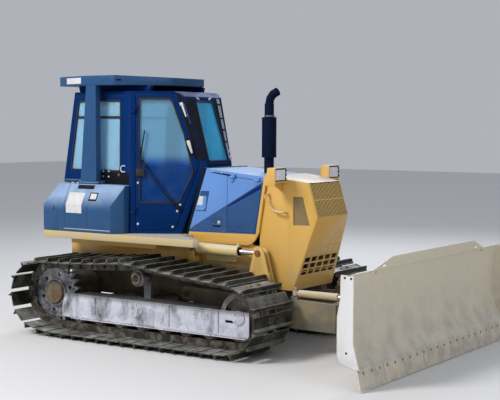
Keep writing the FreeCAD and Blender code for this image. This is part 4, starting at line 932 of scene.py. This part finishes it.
clips += [painted(soft_block((y0, z0, 0.0), (y1, z1, 0.018), 0.004, 2), WHITE_PLATE)
          for z0, z1, y0, y1 in ((1.905, 1.957, 0.205, 0.232), (1.985, 2.020, 0.214, 0.240))]
fit(placed(joined(clips, "cab_corner_clips"), ON_FRONT))

# fixed windows: seals, sliding-window bars, brow bolts
fit(seal_round("front_window_seal", ((-0.186, 1.905), (0.186, 1.905), (0.156, 2.550), (-0.156, 2.550)),
    0.009, ON_FRONT, 0.05), RUBBER)
fit(seal_round("rear_window_seal", (-0.480, 1.760, 0.480, 2.520), 0.010, ON_REAR), RUBBER)
fit(seal_round("side_window_seal_right", ((-0.122, 1.790), (0.690, 1.790), (0.675, 2.555), (-0.008, 2.555)),
    0.010, ON_SIDE), RUBBER)
fit(sheets("side_window_bars_right", (((-0.040, 2.362), (0.680, 2.362), (0.680, 2.388), (-0.036, 2.388)),
    0.009, ON_SIDE, -0.009, 0.002), ((0.318, 1.796, 0.346, 2.362), 0.009, ON_SIDE, -0.009, 0.002)), RUBBER)
fit(bolts_on("cab_brow_bolts", ((-0.122, 2.588), (-0.098, 2.578), (0.122, 2.588), (0.098, 2.578)), ON_FRONT,
    0.017, 0.009), WHITE_PLATE)

# cab side: four-bolt boss, a black sheet as painted shadow under the side window, base flange on rubber,
# hasp and rusty bolt
boss = [soften(start_drum("boss", 0.030, (0.479, 1.757, 0.0), (0.479, 1.757, 0.020), 24), 0.005),
        soft_block((0.418, 1.712, 0.0), (0.540, 1.802, 0.006), 0.002)]
fit(placed(joined(boss, "side_boss_right"), ON_SIDE), BLACK)
fit(bolts_on("side_boss_bolts_right", ((0.434, 1.786), (0.524, 1.786), (0.433, 1.728), (0.523, 1.728)),
             lifted(ON_SIDE, 0.006), 0.020, 0.012, False), WHITE_PLATE)
fit(sheet_of("side_lower_panel_right", (0.455, 1.650, 0.838, 1.776), 0.003, ON_SIDE, 0.0, 0.001), BLACK)
fit(sheet_of("cab_base_flange_right", (-0.205, 1.655, 0.455, 1.680), 0.022, ON_SIDE, 0.0, 0.003),
    SLATE_BLUE)
fit(sheet_of("cab_base_rubber_right", (-0.190, 1.646, 0.470, 1.656), 0.030, ON_SIDE, 0.0, 0.002), RUBBER)
fit(placed(tube("cab_side_hasp_right", [(0.767, 1.850, 0.000), (0.735, 1.853, 0.010), (0.712, 1.838, 0.012),
    (0.712, 1.798, 0.012), (0.735, 1.783, 0.010), (0.767, 1.786, 0.000)], 0.0055), ON_SIDE), WHITE_PLATE)
fit(bolts_on("cab_side_bolt_right", ((0.673, 1.750),), lifted(ON_SIDE, 0.003), 0.022, 0.009), RUST_RED)

# hood: a dark sheet under the pressed line as painted shadow, hatch with its blank plate, latch, grip
ON_HOOD = stand_on((-MID, -0.44021, 0.0), (1.0, -0.03154, 0.0), (0.0, 0.0556, 1.0))
ON_HOOD_LOW = stand_on((-MID, -0.420, 0.0), (1.0, 0.0, 0.0), (0.0, 0.0, 1.0))
HOOD_DOOR, LIP_RISE = "hood_door_right", 0.5672
# a thin dark blue wedge below the pressed line: painted shadow under the raised upper panel
fit(sheet_of("hood_crease_step_right", ((1.940, 1.440), (2.352, 1.640), (2.360, 1.690), (1.940, 1.456)),
    0.0015, ON_HOOD_LOW), CAB_BLUE, HOOD_DOOR)
for part, x0, x1, body in (("rear", 1.486, 1.914, "machine"), ("front", 1.938, 2.352, HOOD_DOOR)):
    z0, z1 = [CREASE_Z + LIP_RISE * (x - CREASE_X) for x in (x0, x1)]
    fit(sheet_of("hood_crease_lip_%s_right" % part, ((x0, z0 + 0.001), (x1, z1 + 0.001), (x1, z1 + 0.013),
        (x0, z0 + 0.013)), 0.0035, ON_HOOD_LOW, 0.0, 0.001), HOOD_BLUE, body)
fit(sheet_of("hood_hatch_rim_right", ((1.514, 1.383), (1.652, 1.383), (1.690, 1.598), (1.580, 1.598)),
    0.002, ON_HOOD), SLATE_BLUE)
fit(sheet_of("hood_hatch_right", ((1.519, 1.390), (1.628, 1.390), (1.652, 1.418), (1.660, 1.545),
    (1.566, 1.545)), 0.004, ON_HOOD, 0.002, 0.0015), HOOD_BLUE)
fit(sheet_of("hood_blank_plate_right", ((1.536, 1.446), (1.610, 1.446), (1.618, 1.538), (1.566, 1.538)),
    0.0025, ON_HOOD, 0.006, 0.0008), WHITE_PLATE)
latch = start_block("hood_latch_right", (1.748, 1.252, 0.0), (1.858, 1.322, 0.004))
open_edit(latch)
push(latch, facing(UP), (0, 0, 0.001), (0.82, 0.75, 1))
push(latch, facing(UP), (0, 0, -0.003))
close_edit()
fit(placed(soften(latch, 0.0012, 1), ON_HOOD_LOW), SLATE_BLUE)
fit(placed(tube("hood_pull_right", [(1.752, 1.240, 0.001), (1.772, 1.238, 0.010), (1.834, 1.238, 0.010),
    (1.854, 1.240, 0.001)], 0.0065), ON_HOOD_LOW), BLACK)
fit(bolts_on("hood_latch_bolt_right", ((1.827, 1.275),), ON_HOOD_LOW, 0.026, 0.012), WHITE_PLATE)
fit(sheet_of("hood_side_grip_right", ((1.697, 1.797), (1.960, 1.764), (1.960, 1.781), (1.760, 1.799)),
    0.006, ON_HOOD, 0.0, 0.002), BLACK)
fit(bolts_on("hood_grip_bolts_right", ((1.850, 1.795), (1.720, 1.815)), ON_HOOD, 0.014, 0.006, False),
    WHITE_PLATE)
fit(bolts_on("hood_bolts_right", ((1.520, 1.190), (1.700, 1.182), (1.880, 1.182)), ON_HOOD_LOW, 0.018,
    0.007), BOLT_STEEL)

# side boxes: bent blank plate, small framed plate, seams, vent, lifting hook, hem
BOX_FACE, BOX_LEAN, BOX_BEND = -0.900, 0.5244, 1.420
ON_BOX = stand_on((-MID, BOX_FACE, 0.0), (1.0, 0.0, 0.0), (0.0, 0.0, 1.0))
ON_BOX_SLANT = stand_on((-MID, BOX_FACE - BOX_BEND * BOX_LEAN, 0.0), (1.0, 0.0, 0.0), (0.0, BOX_LEAN, 1.0))
fit(sheets("box_blank_plate_right", ((0.107, 1.330, 0.332, 1.4215), 0.0025, ON_BOX),
           ((0.107, 1.4190, 0.332, 1.550), 0.0025, ON_BOX_SLANT)), WHITE_PLATE)
fit(sheet_of("box_label_frame_right", (0.408, 1.468, 0.520, 1.556), 0.0030, ON_BOX_SLANT, 0.0, 0.001),
    BLACK)
fit(sheet_of("box_label_right", (0.424, 1.486, 0.508, 1.544), 0.0012, ON_BOX_SLANT, 0.0030), WHITE_PLATE)
fit(sheets("box_seams_right", ((0.069, 1.424, 0.073, 1.640), 0.0012, ON_BOX_SLANT),
    ((0.078, 1.135, 0.081, 1.418), 0.0008, ON_BOX), ((0.412, 1.135, 0.415, 1.418), 0.0008, ON_BOX)), NAVY)
fit(sheet_of("box_vent_right", (0.200, 1.592, 0.435, 1.633), 0.005, ON_BOX_SLANT, 0.0, 0.0015), BLACK)
fit(placed(tube("box_hook_right", [(-0.080, 1.404, 0.0), (-0.080, 1.402, 0.020), (-0.080, 1.362, 0.020),
    (-0.080, 1.360, 0.0)], 0.0055), ON_BOX), BOLT_STEEL)
fit(sheet_of("box_hem_right", (0.077, 1.150, 0.740, 1.162), 0.005, ON_BOX, 0.0, 0.002), PALE_TRIM)
fit(bolts_on("box_bolts_right", ((-0.205, 1.145), (0.020, 1.145), (0.720, 1.145)), ON_BOX, 0.018, 0.007),
    BOLT_STEEL)

# roof: blank plate on its rear side, slot in its front side, rails under it, bolted post feet and clips
ON_ROOF_REAR = stand_on((-0.250 - MID, -0.600, 0.0), (0.9513, -0.3085, 0.0), (0.0, 0.0, 1.0))
ON_ROOF_FRONT = stand_on((0.700 - MID, -0.780, 0.0), (0.6417, 0.7669, 0.0), (0.0, 0.0, 1.0))
fit(sheet_of("roof_blank_plate_right", (0.159, 2.742, 0.469, 2.808), 0.003, ON_ROOF_REAR, 0.0, 0.001),
    WHITE_PLATE)
slot = start_block("roof_slot_right", (0.014, 2.768, 0.0), (0.078, 2.786, 0.002))
open_edit(slot)
round_edges(slot, lambda c, w: abs(w.z) > 0.9, 0.0085, 4)
close_edit()
fit(placed(slot, ON_ROOF_FRONT), BLACK)
rail = start_block("roof_rail_right", at(-0.060, -0.500, 2.6552), at(0.975, -0.446, 2.7216))
open_edit(rail)
squeeze(rail, lambda p, n: p.z < 2.66, (0.97, 1, 1))
close_edit()
fit(soften(rail, 0.005), CAB_BLUE)
fit(joined([hex_bolt(at(x, y, 1.6645), UP, 0.026, 0.013) for x in (0.196, 0.450) for y in (-0.701, -0.760)],
           "post_foot_bolts_right"), BOLT_STEEL)
fit(joined([soft_block(at(x - 0.022, -0.706, 1.6455), at(x + 0.022, -0.694, 1.6555), 0.002)
            for x in (0.030, 0.110, 0.330)], "cab_foot_clips_right"), WHITE_PLATE)

# deck: pressed grip pattern on the steps, up to the slanting foot of the cab
rib = start_block("rib", (-0.014, -0.004, 1.1245), (0.014, 0.004, 1.1285))
open_edit(rib)
squeeze(rib, lambda p, n: p.z > 1.128, (0.75, 0.45, 1))
close_edit()
RIB_PITCH = 0.042
places = []
for i in range(19):
    for j in range(7):
        x, y = 0.880 + RIB_PITCH * i, -0.905 + RIB_PITCH * j
        if y <= -0.790 + 0.55 * max(0.0, 1.36 - x):
            places.append(turned(x - MID, y, 45 if (i + j) % 2 else -45))
fit(spread(rib, places, "deck_grip_right"), DECK_PAINT)

# nose: slats of the upper grille on a dark backing, rim, lower bars
ON_GRILLE = stand_on((2.965 - MID, 0.0, 1.363), (0.0, 1.0, 0.0), (-0.2908, 0.0, 0.9568))
ON_CHIN = stand_on((2.730 - MID, 0.0, 0.620), (0.0, 1.0, 0.0), (0.3016, 0.0, 0.9534))
slat = start_block("slat", (-0.0062, 0.0145, -0.0036), (0.0062, 0.3572, -0.0006))
open_edit(slat)
squeeze(slat, lambda p, n: p.z > -0.001, (0.55, 1, 1))
close_edit()
slats = spread(slat, [ON_GRILLE @ Matrix.Translation((-0.2808 + 0.02674 * k, 0, 0)) for k in range(22)],
    "slats")
bar = sheet_of("bar", (-0.296, 0.1815, 0.296, 0.1895), 0.0034, ON_GRILLE, -0.0036, 0.0008)
fit(joined([slats, bar], "grille_slats"), SLAT_PAINT)
fit(sheet_of("grille_backing", (-0.2965, 0.0135, 0.2965, 0.3580), 0.0004, ON_GRILLE, -0.0040), BLACK)
# a black strip as painted shadow in the gap above the grille
fit(sheet_of("grille_top_gap_painted_shadow", (-0.300, 0.3592, 0.300, 0.3642), 0.0012, ON_GRILLE), BLACK)
fit(sheets("grille_rim", *[(edges, 0.004, ON_GRILLE, 0.0, 0.0015)
    for edges in ((-0.3075, 0.004, -0.2985, 0.366), (0.2985, 0.004, 0.3075, 0.366),
    (-0.298, 0.0035, 0.298, 0.0115))]), YELLOW)
fit(sheets("lower_grille_bars", *[((-0.326, z - 0.004, 0.326, z + 0.004), 0.0035, ON_CHIN, 0.0, 0.0014)
    for z in (0.198, 0.286, 0.374, 0.462)]), YELLOW)

# head lamps: fluted pane, black frame and clips, the left one a copy of the right one
panes = [start_block("pane", (0.0, -0.0900, -0.0560), (0.0030, 0.0900, 0.0560))]
for y in [-0.080 + 0.020 * k for k in range(9)]:
    flute = start_block("flute", (0.0025, y - 0.0075, -0.052), (0.0050, y + 0.0075, 0.052))
    open_edit(flute)
    squeeze(flute, lambda p, n: p.x > 0.004, (1, 0.45, 0.97))
    close_edit()
    panes.append(flute)
bars = [start_block("edge", low, high) for low, high in (((-0.010, -0.0960, 0.0530),
    (0.0062, 0.0960, 0.0632)), ((-0.010, -0.0960, -0.0632), (0.0062, 0.0960, -0.0540)),
    ((-0.010, 0.0880, -0.0600), (0.0056, 0.0958, 0.0600)))]
bars += [soft_block((-0.012, 0.0840, z - 0.011), (0.0110, 0.1045, z + 0.011), 0.002)
    for z in (-0.040, 0.0, 0.040)]
for pieces, name, finish in ((panes, "lamp_pane_", LAMP_SILVER), (bars, "lamp_frame_", BLACK)):
    lamp = placed(joined(pieces, name + "right"), Matrix.Translation(at(2.6612, -0.5335, 1.799)))
    mounted(twin_of(lamp, Matrix.Translation((0, 1.067, 0)), name + "left"), finish)
    mounted(lamp, finish)

# grab handles bent from one round bar, with welded feet
GRAB_ENDS = ((2.440, 1.591), (2.650, 1.415))
bar = tube("bar", [at(*spot) for spot in (
    (2.440, -0.3995, 1.591), (2.440, -0.448, 1.591), (2.430, -0.461, 1.575), (2.438, -0.461, 1.545),
    (2.474, -0.461, 1.482), (2.530, -0.461, 1.432), (2.590, -0.461, 1.415), (2.640, -0.459, 1.415),
    (2.650, -0.448, 1.415), (2.650, -0.3995, 1.415))], 0.0105, ring=4)
feet = [soften(axle(0.021, x, z, -0.3995, -0.4045, 20), 0.0015, 1) for x, z in GRAB_ENDS]
for piece in fit(joined([bar] + feet, "grab_bar_right"), YELLOW):
    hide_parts("grab_handles")

# exhaust: clamp with its screw, muffler seams, open end
STACK = 2.178
for name, radius, low, high in (("exhaust_clamp", 0.0535, 2.384, 2.400),
        ("muffler_seam_low", 0.0795, 1.957, 1.966), ("muffler_seam_high", 0.0795, 2.369, 2.378)):
    hoop = soften(start_drum(name, radius, at(STACK, 0.0, low), at(STACK, 0.0, high), 32), 0.002)
    if name == "exhaust_clamp":
        ear = soft_block(at(STACK + 0.048, -0.008, low), at(STACK + 0.074, 0.008, high), 0.0015)
        screw = hex_bolt(at(STACK + 0.064, -0.008, (low + high) / 2), OUT, 0.014, 0.008, False)
        mounted(joined([hoop, ear, screw], name), BOLT_STEEL)
    else:
        mounted(hoop, NAVY)
run, end = Vector((0.887, 0.0, 0.4617)), at(2.27435, 0.0, 2.6476)
mouth = start_drum("exhaust_mouth", 0.0450, end - run * 0.030, end + run * 0.006, 32)
open_edit(mouth)
push(mouth, facing(run, 0.95), (0, 0, 0), (0.90, 0.90, 0.90))
extrude(run * -0.022)
close_edit()
fit(soften(mouth, 0.001, 1), NAVY)

# blade: pale end plates set in a rim, with their bolts
HALF_BLADE = 1.675
blade = bpy.data.objects["blade_rounded"]
blade.data.materials.append(WHITE_EDGE)
open_edit(blade)
choose(blade, lambda c, n: abs(n.y) > 0.95 and abs(c.y) > HALF_BLADE - 0.003)
bpy.ops.mesh.inset(thickness=0.006, depth=-0.0022)
choose(blade, lambda c, n: abs(n.y) > 0.95 and abs(c.y) > HALF_BLADE - 0.005)
blade.active_material_index = 1
bpy.ops.object.material_slot_assign()
for side in (-1, 1):
    shift(blade, lambda p, n: side * p.y > HALF_BLADE + 0.0002, (0, -side * 0.002, 0))
close_edit()
blade.active_material_index = 0
fit(joined([hex_bolt(at(x, 0.0023 - HALF_BLADE, z), OUT, 0.024, 0.0020, False)
    for x, z in ((4.050, 0.984), (4.112, 0.981), (4.070, 0.330))], "blade_end_bolts_right"), BLACK, "blade")

# blade: bolts and seams of the cutting edge, welds of the rear ribs
ON_EDGE = stand_on((4.222 - MID, 0.0, 0.008), (0.0, 1.0, 0.0), (-0.2234, 0.0, 0.9747))
plough = start_drum("plough_bolt", 0.0145, (0, 0, 0), (0, 0, 0.0035), 14, 0.0105)
fit(spread(plough, [ON_EDGE @ Matrix.Translation((-1.575 + 0.150 * k, 0.150, 0)) for k in range(22)],
           "cutting_edge_bolts"), BOLT_STEEL, "blade")
fit(sheets("cutting_edge_seams", *[((y - 0.0015, 0.006, y + 0.0015, 0.190), 0.0005, ON_EDGE)
    for y in (-1.200, -0.400, 0.400, 1.200)]), BLACK, "blade")
fit(joined([tube("bead", [at(x, y + s, z) for x, z in ((4.0075, 0.660), (4.0150, 0.740), (4.0285, 0.850))],
    0.0045, ring=2) for y in (-1.500, -1.050, -0.560, 0.560, 1.050, 1.500) for s in (-0.010, 0.010)],
    "blade_rib_welds"), BLADE_PAINT, "blade")

# lift cylinders: end collars with a port boss, gland, pin caps
BARREL = "lift_barrel_right"
REAR_PIN, FRONT_PIN = (1.550, 1.000), (2.390, 0.990)
foot = at(REAR_PIN[0], -0.490, REAR_PIN[1])
run = (at(FRONT_PIN[0], -0.490, FRONT_PIN[1]) - foot).normalized()
port = foot + run * 0.572
ends = [soften(start_drum("collar", 0.0605, foot + run * 0.556, foot + run * 0.586, 40), 0.003),
    soften(start_drum("collar", 0.0600, foot + run * 0.064, foot + run * 0.078, 40), 0.003),
    soften(start_drum("port", 0.014, port + Vector((0, 0, 0.050)), port + Vector((0, 0, 0.078)), 6), 0.0015,
    1)]
fit(joined(ends, "lift_barrel_collars_right"), LIFT_PAINT, BARREL)
gland = start_drum("lift_gland_right", 0.046, foot + run * 0.586, foot + run * 0.594, 32)
open_edit(gland)
push(gland, facing(run, 0.95), run * 0.0001, (0.72, 0.72, 0.72))
extrude(run * 0.006)
close_edit()
fit(gland, BLACK, BARREL)
for name, (x, z), face, body in (("lift_pin_front_right", FRONT_PIN, -0.532, "push_frame"),
        ("lift_pin_rear_right", REAR_PIN, -0.5365, "machine")):
    cap = axle(0.0255, x, z, face - 0.004, face - 0.0145)
    open_edit(cap)
    push(cap, facing(OUT, 0.95), (0, -0.0001, 0), (0.45, 1, 0.45))
    push(cap, facing(OUT, 0.95), (0, 0.003, 0))
    close_edit()
    pin = [soften(axle(0.036, x, z, face, face - 0.006), 0.0015, 1), soften(cap, 0.0015, 1),
           hex_bolt(at(x + 0.028, face - 0.006, z - 0.012), OUT, 0.012, 0.006, False)]
    fit(joined(pin, name), RUST_RED, body)

# rail box under each lift cylinder, and weld beads along the foot of the lift plates
rail = start_block("hull_rail_right", at(1.670, -0.424, 0.868), at(2.070, -0.3845, 0.932))
open_edit(rail)
shift(rail, lambda p, n: p.x > 2.05 - MID and p.z < 0.87, (-0.020, 0, 0))
shift(rail, lambda p, n: p.y > -0.39 and p.z > 0.90, (0, 0, 0.006))
close_edit()
fit(soften(rail, 0.005), LIFT_PAINT)
fit(joined([tube("bead", [at(2.225, y, 0.522), at(2.4075, y, 0.523), at(2.590, y, 0.522)], 0.0055, ring=2)
            for y in (-0.533, -0.449)], "lift_plate_welds_right"), PUSH_MUD_AND_SHADE, "push_frame")


# seat: cushions blown up as cloth from blocks, on a bellows foot

def swollen(pad, resting, cap):
    """Remeshes a block, fills it as cloth held where it rests, and limits how far any point has moved."""
    apply_modifier(pad, "REMESH", mode="VOXEL", voxel_size=0.006)
    start = [v.co.copy() for v in pad.data.vertices]
    held = pad.vertex_groups.new(name="resting")
    held.add([v.index for v in pad.data.vertices if resting(v.co)], 1.0, "REPLACE")
    bpy.ops.object.modifier_add(type="CLOTH")
    cloth = pad.modifiers[-1]
    cloth.settings.use_pressure = True
    cloth.settings.uniform_pressure_force = 4.0
    cloth.settings.effector_weights.gravity = 0.0
    cloth.settings.vertex_group_mass = "resting"
    cloth.point_cache.frame_start = 1
    cloth.point_cache.frame_end = 20
    for step in range(1, 21):
        bpy.context.scene.frame_set(step)
    bpy.ops.object.modifier_apply(modifier=cloth.name)
    bpy.context.scene.frame_set(1)
    for point, first in zip(pad.data.vertices, start):
        moved = point.co - first
        if moved.length > cap:
            point.co = first + moved * (cap / moved.length)
    apply_modifier(pad, "SUBSURF", levels=1, render_levels=1)
    return pad


def sewn(pad, lines, depth, across="z"):
    """Sinks the cover along sewn lines, each given as two points of the pad's face."""
    pick = {"z": (0, 1), "x": (1, 2)}[across]
    pad.data.update()
    ways = [v.normal.copy() for v in pad.data.vertices]
    for point, way in zip(pad.data.vertices, ways):
        spot = Vector((point.co[pick[0]], point.co[pick[1]]))
        sink = 0.0
        for a, b in lines:
            a, b = Vector(a), Vector(b)
            part = max(0.0, min(1.0, (spot - a).dot(b - a) / (b - a).length_squared))
            gap = (spot - a - (b - a) * part).length
            sink = max(sink, math.exp(-(gap / 0.0055) ** 2))
        point.co -= way * depth * sink * max(0.0, getattr(way, across))
    pick_up(pad)
    bpy.ops.object.shade_smooth()
    return pad


def seated(pad):
    painted(pad, SEAT_CLOTH)
    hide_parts("operator_seat")
    mounted(pad)


cushion = start_block("seat_cushion", at(0.352, -0.222, 1.490), at(0.812, 0.222, 1.574))
open_edit(cushion)
slice_all("y", (-0.150, -0.105, 0.105, 0.150))
slice_all("x", (0.470 - MID, 0.580 - MID, 0.720 - MID))
shift(cushion, lambda p, n: abs(p.y) > 0.14 and p.z > 1.57 and p.x < 0.73 - MID, (0, 0, 0.010))
shift(cushion, lambda p, n: abs(p.y) < 0.11 and p.z > 1.57 and p.x < 0.60 - MID, (0, 0, -0.012))
shift(cushion, lambda p, n: p.x > 0.80 - MID and p.z > 1.57, (-0.018, 0, -0.014))
squeeze(cushion, lambda p, n: abs(p.y) > 0.20 and 0.46 - MID < p.x < 0.73 - MID, (1, 0.975, 1))
close_edit()
rear, front, cross, seam = 0.375 - MID, 0.790 - MID, 0.690 - MID, 0.128
seated(sewn(swollen(soften(cushion, 0.014, 3), lambda p: p.z < 1.4945, 0.016),
    (((rear, -seam), (front, -seam)), ((rear, seam), (front, seam)), ((cross, -seam), (cross, seam))),
    0.009))

back = start_block("seat_back", at(0.262, -0.214, 1.600), at(0.330, 0.214, 2.040))
open_edit(back)
slice_all("y", (-0.145, -0.100, 0.100, 0.145))
slice_all("z", (1.700, 1.820, 1.940))
shift(back, lambda p, n: abs(p.y) < 0.11 and p.x > 0.32 - MID, (-0.012, 0, 0))
squeeze(back, lambda p, n: p.z > 2.03 and abs(p.y) > 0.20, (1, 0.86, 1))
squeeze(back, lambda p, n: 1.69 < p.z < 1.95 and abs(p.y) > 0.20, (1, 0.975, 1))
close_edit()
seated(sewn(swollen(soften(back, 0.014, 3), lambda p: p.x < 0.2665 - MID, 0.016),
    (((-0.122, 1.62), (-0.122, 2.02)), ((0.122, 1.62), (0.122, 2.02)), ((-0.122, 1.800), (0.122, 1.800)),
    ((-0.122, 1.930), (0.122, 1.930))), 0.009, "x"))

head = start_block("seat_headrest", at(0.262, -0.112, 2.092), at(0.318, 0.112, 2.212))
open_edit(head)
slice_all("y", (-0.060, 0.060))
slice_all("z", (2.150,))
squeeze(head, lambda p, n: abs(p.y) > 0.10, (0.75, 0.96, 0.86))
close_edit()
seated(sewn(swollen(soften(head, 0.012, 3), lambda p: p.z < 2.0955, 0.010),
    (((-0.095, 2.150), (0.095, 2.150)),), 0.005, "x"))

# seat: back shell, pan, headrest posts and side cheeks, then the bellows on its plate
shell = start_block("shell", at(0.242, -0.226, 1.560), at(0.262, 0.226, 2.064))
open_edit(shell)
slice_all("z", (1.90,))
squeeze(shell, lambda p, n: p.z > 2.05, (1, 0.84, 1))
close_edit()
seat_parts = [soften(shell, 0.007, 3), soft_block(at(0.332, -0.236, 1.466), at(0.826, 0.236, 1.490), 0.008,
    3)]
seat_parts += [tube("post", [at(0.288, y, 2.030), at(0.288, y, 2.100)], 0.006, smooth=False)
    for y in (-0.060, 0.060)]
for y in (-0.236, 0.236):
    cheek = start_block("cheek", at(0.244, y - 0.006, 1.476), at(0.360, y + 0.006, 1.640))
    open_edit(cheek)
    shift(cheek, lambda p, n: p.z > 1.63 and p.x > 0.35 - MID, (-0.060, 0, 0))
    close_edit()
    seat_parts.append(soften(cheek, 0.003))
bellows = start_block("bellows", at(0.400, -0.165, 1.185), at(0.740, 0.165, 1.466))
folds = [1.185 + 0.0281 * k for k in range(1, 10)]
open_edit(bellows)
slice_all("z", folds)
for fold in folds[::2]:
    squeeze(bellows, lambda p, n: abs(p.z - fold) < 0.004, (0.90, 0.90, 1))
close_edit()
foot_parts = [soften(bellows, 0.004), soft_block(at(0.384, -0.178, 1.1655), at(0.756, 0.178, 1.187), 0.004,
    2)]
for parts, name, finish in ((seat_parts, "seat_frame", CONSOLE), (foot_parts, "seat_bellows", RUBBER)):
    whole = joined(parts, name)
    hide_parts("operator_seat")
    mounted(whole, finish)

# consoles: rounded edges, lever knobs with their boots, gauges in the dash
rounded_copy("control_consoles", 0.010, CONSOLE, 3)
lean = Vector((0.15, 0.0, 1.0)).normalized()
for name, y, top in (("blade_lever_knob", -0.350, 0.200), ("travel_lever_knob", 0.350, 0.180)):
    base = at(0.760, y, 1.635)
    knob = start_drum("knob", 0.020, base + lean * (top - 0.050), base + lean * (top + 0.012), 20, 0.030)
    open_edit(knob)
    push(knob, facing(lean, 0.95), lean * 0.012, (0.65, 0.65, 0.65))
    close_edit()
    boot = start_drum("boot", 0.045, base + lean * 0.004, base + lean * 0.055, 20, 0.020)
    mounted(joined([soften(knob, 0.005, 3), soften(boot, 0.004)], name), RUBBER)
mounted(joined([soften(start_drum("dial", 0.030, at(1.287, y, 1.730), at(1.283, y, 1.738), 24), 0.002)
    for y in (-0.120, -0.040, 0.040, 0.120)], "dash_gauges"), BLACK)

# floor, light and camera
clear_selection()
bpy.ops.mesh.primitive_plane_add(size=90.0, location=(0.0, 0.0, -0.002))
floor = bpy.context.object
floor.name = "floor"
floor_finish, _, floor_skin = start_finish("pale_floor")
floor_skin["Base Color"].default_value = (0.70, 0.70, 0.71, 1.0)
floor_skin["Roughness"].default_value = 0.9
floor.data.materials.append(floor_finish)

for name, place, target, size, power, colour in (
        ("key_light", (-3.5, -9.5, 9.0), (0.2, 0.0, 1.0), 4.0, 1250.0, (1.0, 0.97, 0.92)),
        ("fill_light", (10.5, -5.0, 5.0), (0.5, 0.0, 1.0), 6.0, 210.0, (0.90, 0.94, 1.0)),
        ("back_light", (-3.0, 9.0, 8.0), (0.0, 0.0, 1.0), 6.0, 420.0, (0.95, 0.97, 1.0))):
    bpy.ops.object.light_add(type="AREA", location=place)
    lamp = bpy.context.object
    lamp.name = name
    lamp.data.shape = "DISK"
    lamp.data.size = size
    lamp.data.energy = power
    lamp.data.color = colour
    lamp.rotation_euler = (Vector(target) - Vector(place)).to_track_quat("-Z", "Y").to_euler()

world = bpy.data.worlds.new("soft_sky")
bpy.context.scene.world = world
world.use_nodes = True
sky = world.node_tree.nodes["Background"].inputs
sky["Color"].default_value = (0.86, 0.90, 0.97, 1.0)
sky["Strength"].default_value = 0.50

AZIMUTH, DOWNWARD, ROLL = 33.94, 3.58, 0.25
bpy.ops.object.camera_add(location=(9.030 - MID, -10.540, 2.288))
camera = bpy.context.object
camera.name = "photo_camera"
camera.data.sensor_width = 36.0
camera.data.lens = 85.3
camera.data.clip_end = 200.0
turn = Matrix.Rotation(math.radians(AZIMUTH), 3, "Z") @ Matrix.Rotation(math.radians(90.0 - DOWNWARD), 3,
    "X")
camera.rotation_euler = (turn @ Matrix.Rotation(math.radians(ROLL), 3, "Z")).to_euler()
bpy.context.scene.camera = camera
bpy.context.scene.view_settings.view_transform = "Standard"
